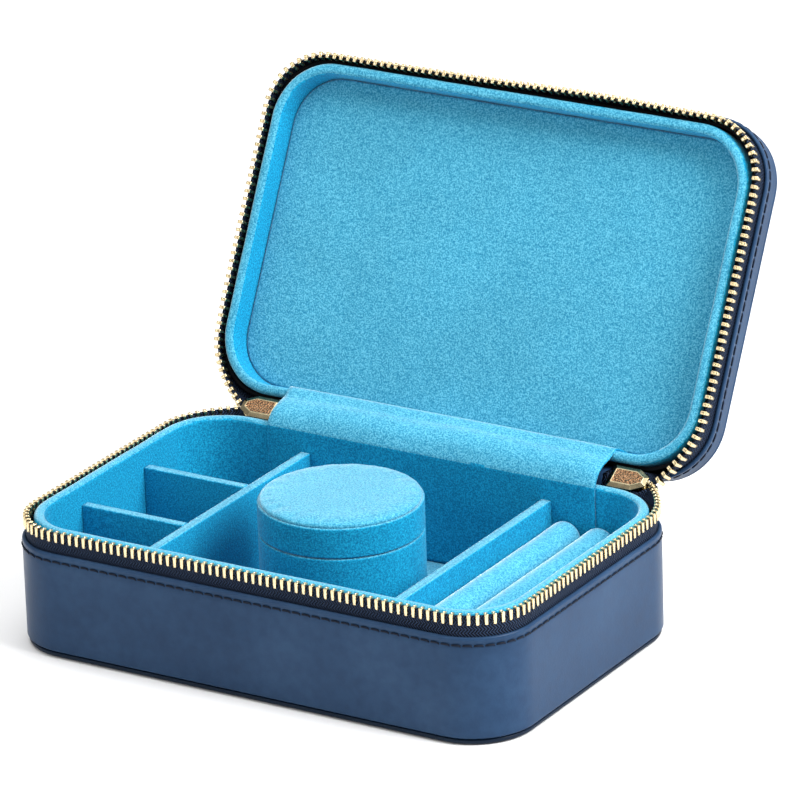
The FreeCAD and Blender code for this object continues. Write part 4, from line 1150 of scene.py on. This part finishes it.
def flange(build, outside, z_side):
    """A strip along one long side of a plate, curled towards the gap."""
    y0, z0 = GAP / 2, SLIDER_WIDE / 2 - 0.05
    section = [(z0, y0 + 0.15), (z0 - 0.9, y0 + 0.15), (z0 - 0.9, y0 - 0.62), (z0 - 0.65, y0 - 0.9),
               (z0 - 0.25, y0 - 0.9), (z0, y0 - 0.6)]
    far = TAIL + BODY_LONG
    stations = ((TAIL + 0.7, 0.25), (TAIL + 0.95, 0.0), (far - 1.5, 0.0), (far - 1.1, 0.25))
    build.tube([[(x, (y + (y0 - y) * trim) * outside, (z + (z0 - 0.5 - z) * trim) * z_side)
                 for z, y in section] for x, trim in stations])


def bridge(build):
    """The pull's bridge: a flat bow that stands on the outside plate, with flared feet."""
    foot, high, span = GAP / 2 + PLATE - 0.2, GAP / 2 + PLATE + BRIDGE_REACH, WINDOW + BAR_ROUND
    half = [(1.2, high + 0.05), (span - 1.1, high), (span - 0.25, high - 0.7), (span, foot + 1.2), (span, foot)]
    line = smooth_line([(-x, y) for x, y in half[::-1]] + half, 0.5)
    rows = []
    for (x, y), (nx, ny) in zip(line, line_normals(line)):
        flare = 1.0 + 0.9 * max(0.0, 1 - (y - foot) / 1.4) ** 2
        tenths = [2 * math.pi * s / 10 for s in range(10)]
        rows.append([(x + nx * BAR_ROUND * math.cos(a), y + ny * BAR_ROUND * math.cos(a),
                      BAR_ROUND * 1.15 * flare * math.sin(a)) for a in tenths])
    build.tube(rows)


def slider_build():
    build, hammered = Build(), []
    for outside in (-1, 1):
        hammered += plate(build, outside)
        for z_side in (-1, 1):
            flange(build, outside, z_side)
    # the post between the plates, behind the nose
    points, faces = rounded_box([0, 0, 0], [2.6, 2.0, GAP + 0.4], 0.1, 0.7)
    build.add([(x + BODY_LONG / 2 - 2.2, z - GAP / 2 - 0.2, y - 1.0) for x, y, z in points], faces)
    bridge(build)
    return build, hammered


for side, where in ((-1, "left"), (1, "right")):
    build, hammered = slider_build()
    build.moved(lambda x, y, z: (side * x, y, z))
    middle = middle_x(*box_mm(f"zip_slider_{where}"))
    place = HALF_OPEN @ Matrix.Translation((middle, HINGE_Y + SLIDER_BACK, HINGE_Z - SLIDER_DROP))
    made = build.finish(f"zip_slider_{where}_cast", CAST, f"zip_slider_{where}", place)
    made.data.materials.append(HAMMERED)
    for index in hammered:
        made.data.polygons[index].material_index = 1

TAB_HOLE, TAB_HEAD, TAB_FOOT = 1.08, 2.35, 3.0  # radii
TAB_SIDE = ((2.0, -3.2), (2.3, -6.5), (2.9, -12.0))  # half width, and height from the hole
for where in ("left", "right"):
    low, high = box_mm(f"pull_tab_{where}")
    middle = middle_x(low, high)
    hole = next(j for j in frame["joints"] if j["name"] == f"tab_{where}_swing")["pos_m"][2] / MM
    contour = arc(0.0, hole, TAB_HEAD, -20, 200, 12) + [(-x, hole + z) for x, z in TAB_SIDE]
    contour += arc(0.0, low[2] + TAB_FOOT, TAB_FOOT, 180, 360, 12)
    contour += [(x, hole + z) for x, z in TAB_SIDE[::-1]]
    front, back = low[1], high[1]
    rows = []
    for inset, y in ((0.3, front), (0.09, front + 0.09), (0.0, front + 0.3), (0.0, back - 0.3),
                     (0.09, back - 0.09), (0.3, back)):
        rows.append([(middle + x, y, z) for x, z in inset_loop(contour, inset)])
    angles = [math.atan2(z - hole, x) for x, z in contour]
    for grow, y in ((0.25, back), (0.07, back - 0.07), (0.0, back - 0.25), (0.0, front + 0.25),
                    (0.07, front + 0.07), (0.25, front)):
        radius = TAB_HOLE * (1 + grow)
        rows.append([(middle + radius * math.cos(a), y, hole + radius * math.sin(a)) for a in angles])
    build = Build()
    build.grid(rows, True, True)
    build.finish(f"pull_tab_{where}_cast", GOLD, f"pull_tab_{where}")

# ---------------------------------------------------------------- floor, lights, camera


FLOOR_REACH, FLOOR_LEVEL = 14.0, -0.0004  # in metres, as are the lights and the camera


def ground():
    n = Nodes("pale_studio_floor")
    cloud = n.noise(3.0, 3.0, 0.5)
    n.set(Base_Color=n.ramp(cloud, (0.3, (0.86, 0.86, 0.865)), (0.7, (0.90, 0.90, 0.90))))
    n.rough(cloud, 0.55, 0.65)
    mesh = bpy.data.meshes.new("studio_floor")
    corners = ((-1, -1), (1, -1), (1, 1), (-1, 1))
    mesh.from_pydata([(x * FLOOR_REACH, y * FLOOR_REACH, FLOOR_LEVEL) for x, y in corners], [], [(0, 1, 2, 3)])
    mesh.materials.append(n.material)
    obj = bpy.data.objects.new("studio_floor", mesh)
    bpy.context.scene.collection.objects.link(obj)


MIDDLE = (0.0, 0.03, 0.06)


def softbox(name, place, width, height, power):
    data = bpy.data.lights.new(name, "AREA")
    data.shape, data.size, data.size_y = "RECTANGLE", width, height
    data.energy = power
    obj = bpy.data.objects.new(name, data)
    obj.location = place
    obj.rotation_mode = "QUATERNION"
    obj.rotation_quaternion = (Vector(MIDDLE) - Vector(place)).to_track_quat("-Z", "Y")
    bpy.context.scene.collection.objects.link(obj)


ground()
softbox("key_softbox", (0.85, 0.08, 0.80), 0.6, 0.6, 20.0)
softbox("top_softbox", (-0.1, 0.1, 1.6), 1.6, 1.6, 21.0)
softbox("front_softbox", (-0.7, -1.5, 0.9), 1.2, 0.9, 5.5)
world = bpy.data.worlds.new("studio")
world.use_nodes = True
sky = world.node_tree.nodes["Background"].inputs
sky["Color"].default_value = (1.0, 1.0, 1.0, 1.0)
sky["Strength"].default_value = 0.55
bpy.context.scene.world = world

AZIMUTH, ELEVATION, ROLL = math.radians(31.951), math.radians(21.246), math.radians(-1.964)
AIM, DISTANCE = Vector((25.15, 0.0, 89.23)) * MM, 2.2212
back = Vector((math.sin(AZIMUTH) * math.cos(ELEVATION), -math.cos(AZIMUTH) * math.cos(ELEVATION),
               math.sin(ELEVATION)))
level_right = Vector((math.cos(AZIMUTH), math.sin(AZIMUTH), 0))
level_up = back.cross(level_right)
right = math.cos(ROLL) * level_right + math.sin(ROLL) * level_up
up = -math.sin(ROLL) * level_right + math.cos(ROLL) * level_up
camera_data = bpy.data.cameras.new("camera")
camera_data.sensor_width, camera_data.lens = 36.0, 300.57
camera_data.clip_start, camera_data.clip_end = 0.1, 60.0
camera = bpy.data.objects.new("camera", camera_data)
turn = Matrix((right, up, back)).transposed().to_4x4()
camera.matrix_world = Matrix.Translation(AIM + back * DISTANCE) @ turn
bpy.context.scene.collection.objects.link(camera)
bpy.context.scene.camera = camera
bpy.context.scene.view_settings.view_transform = "Standard"
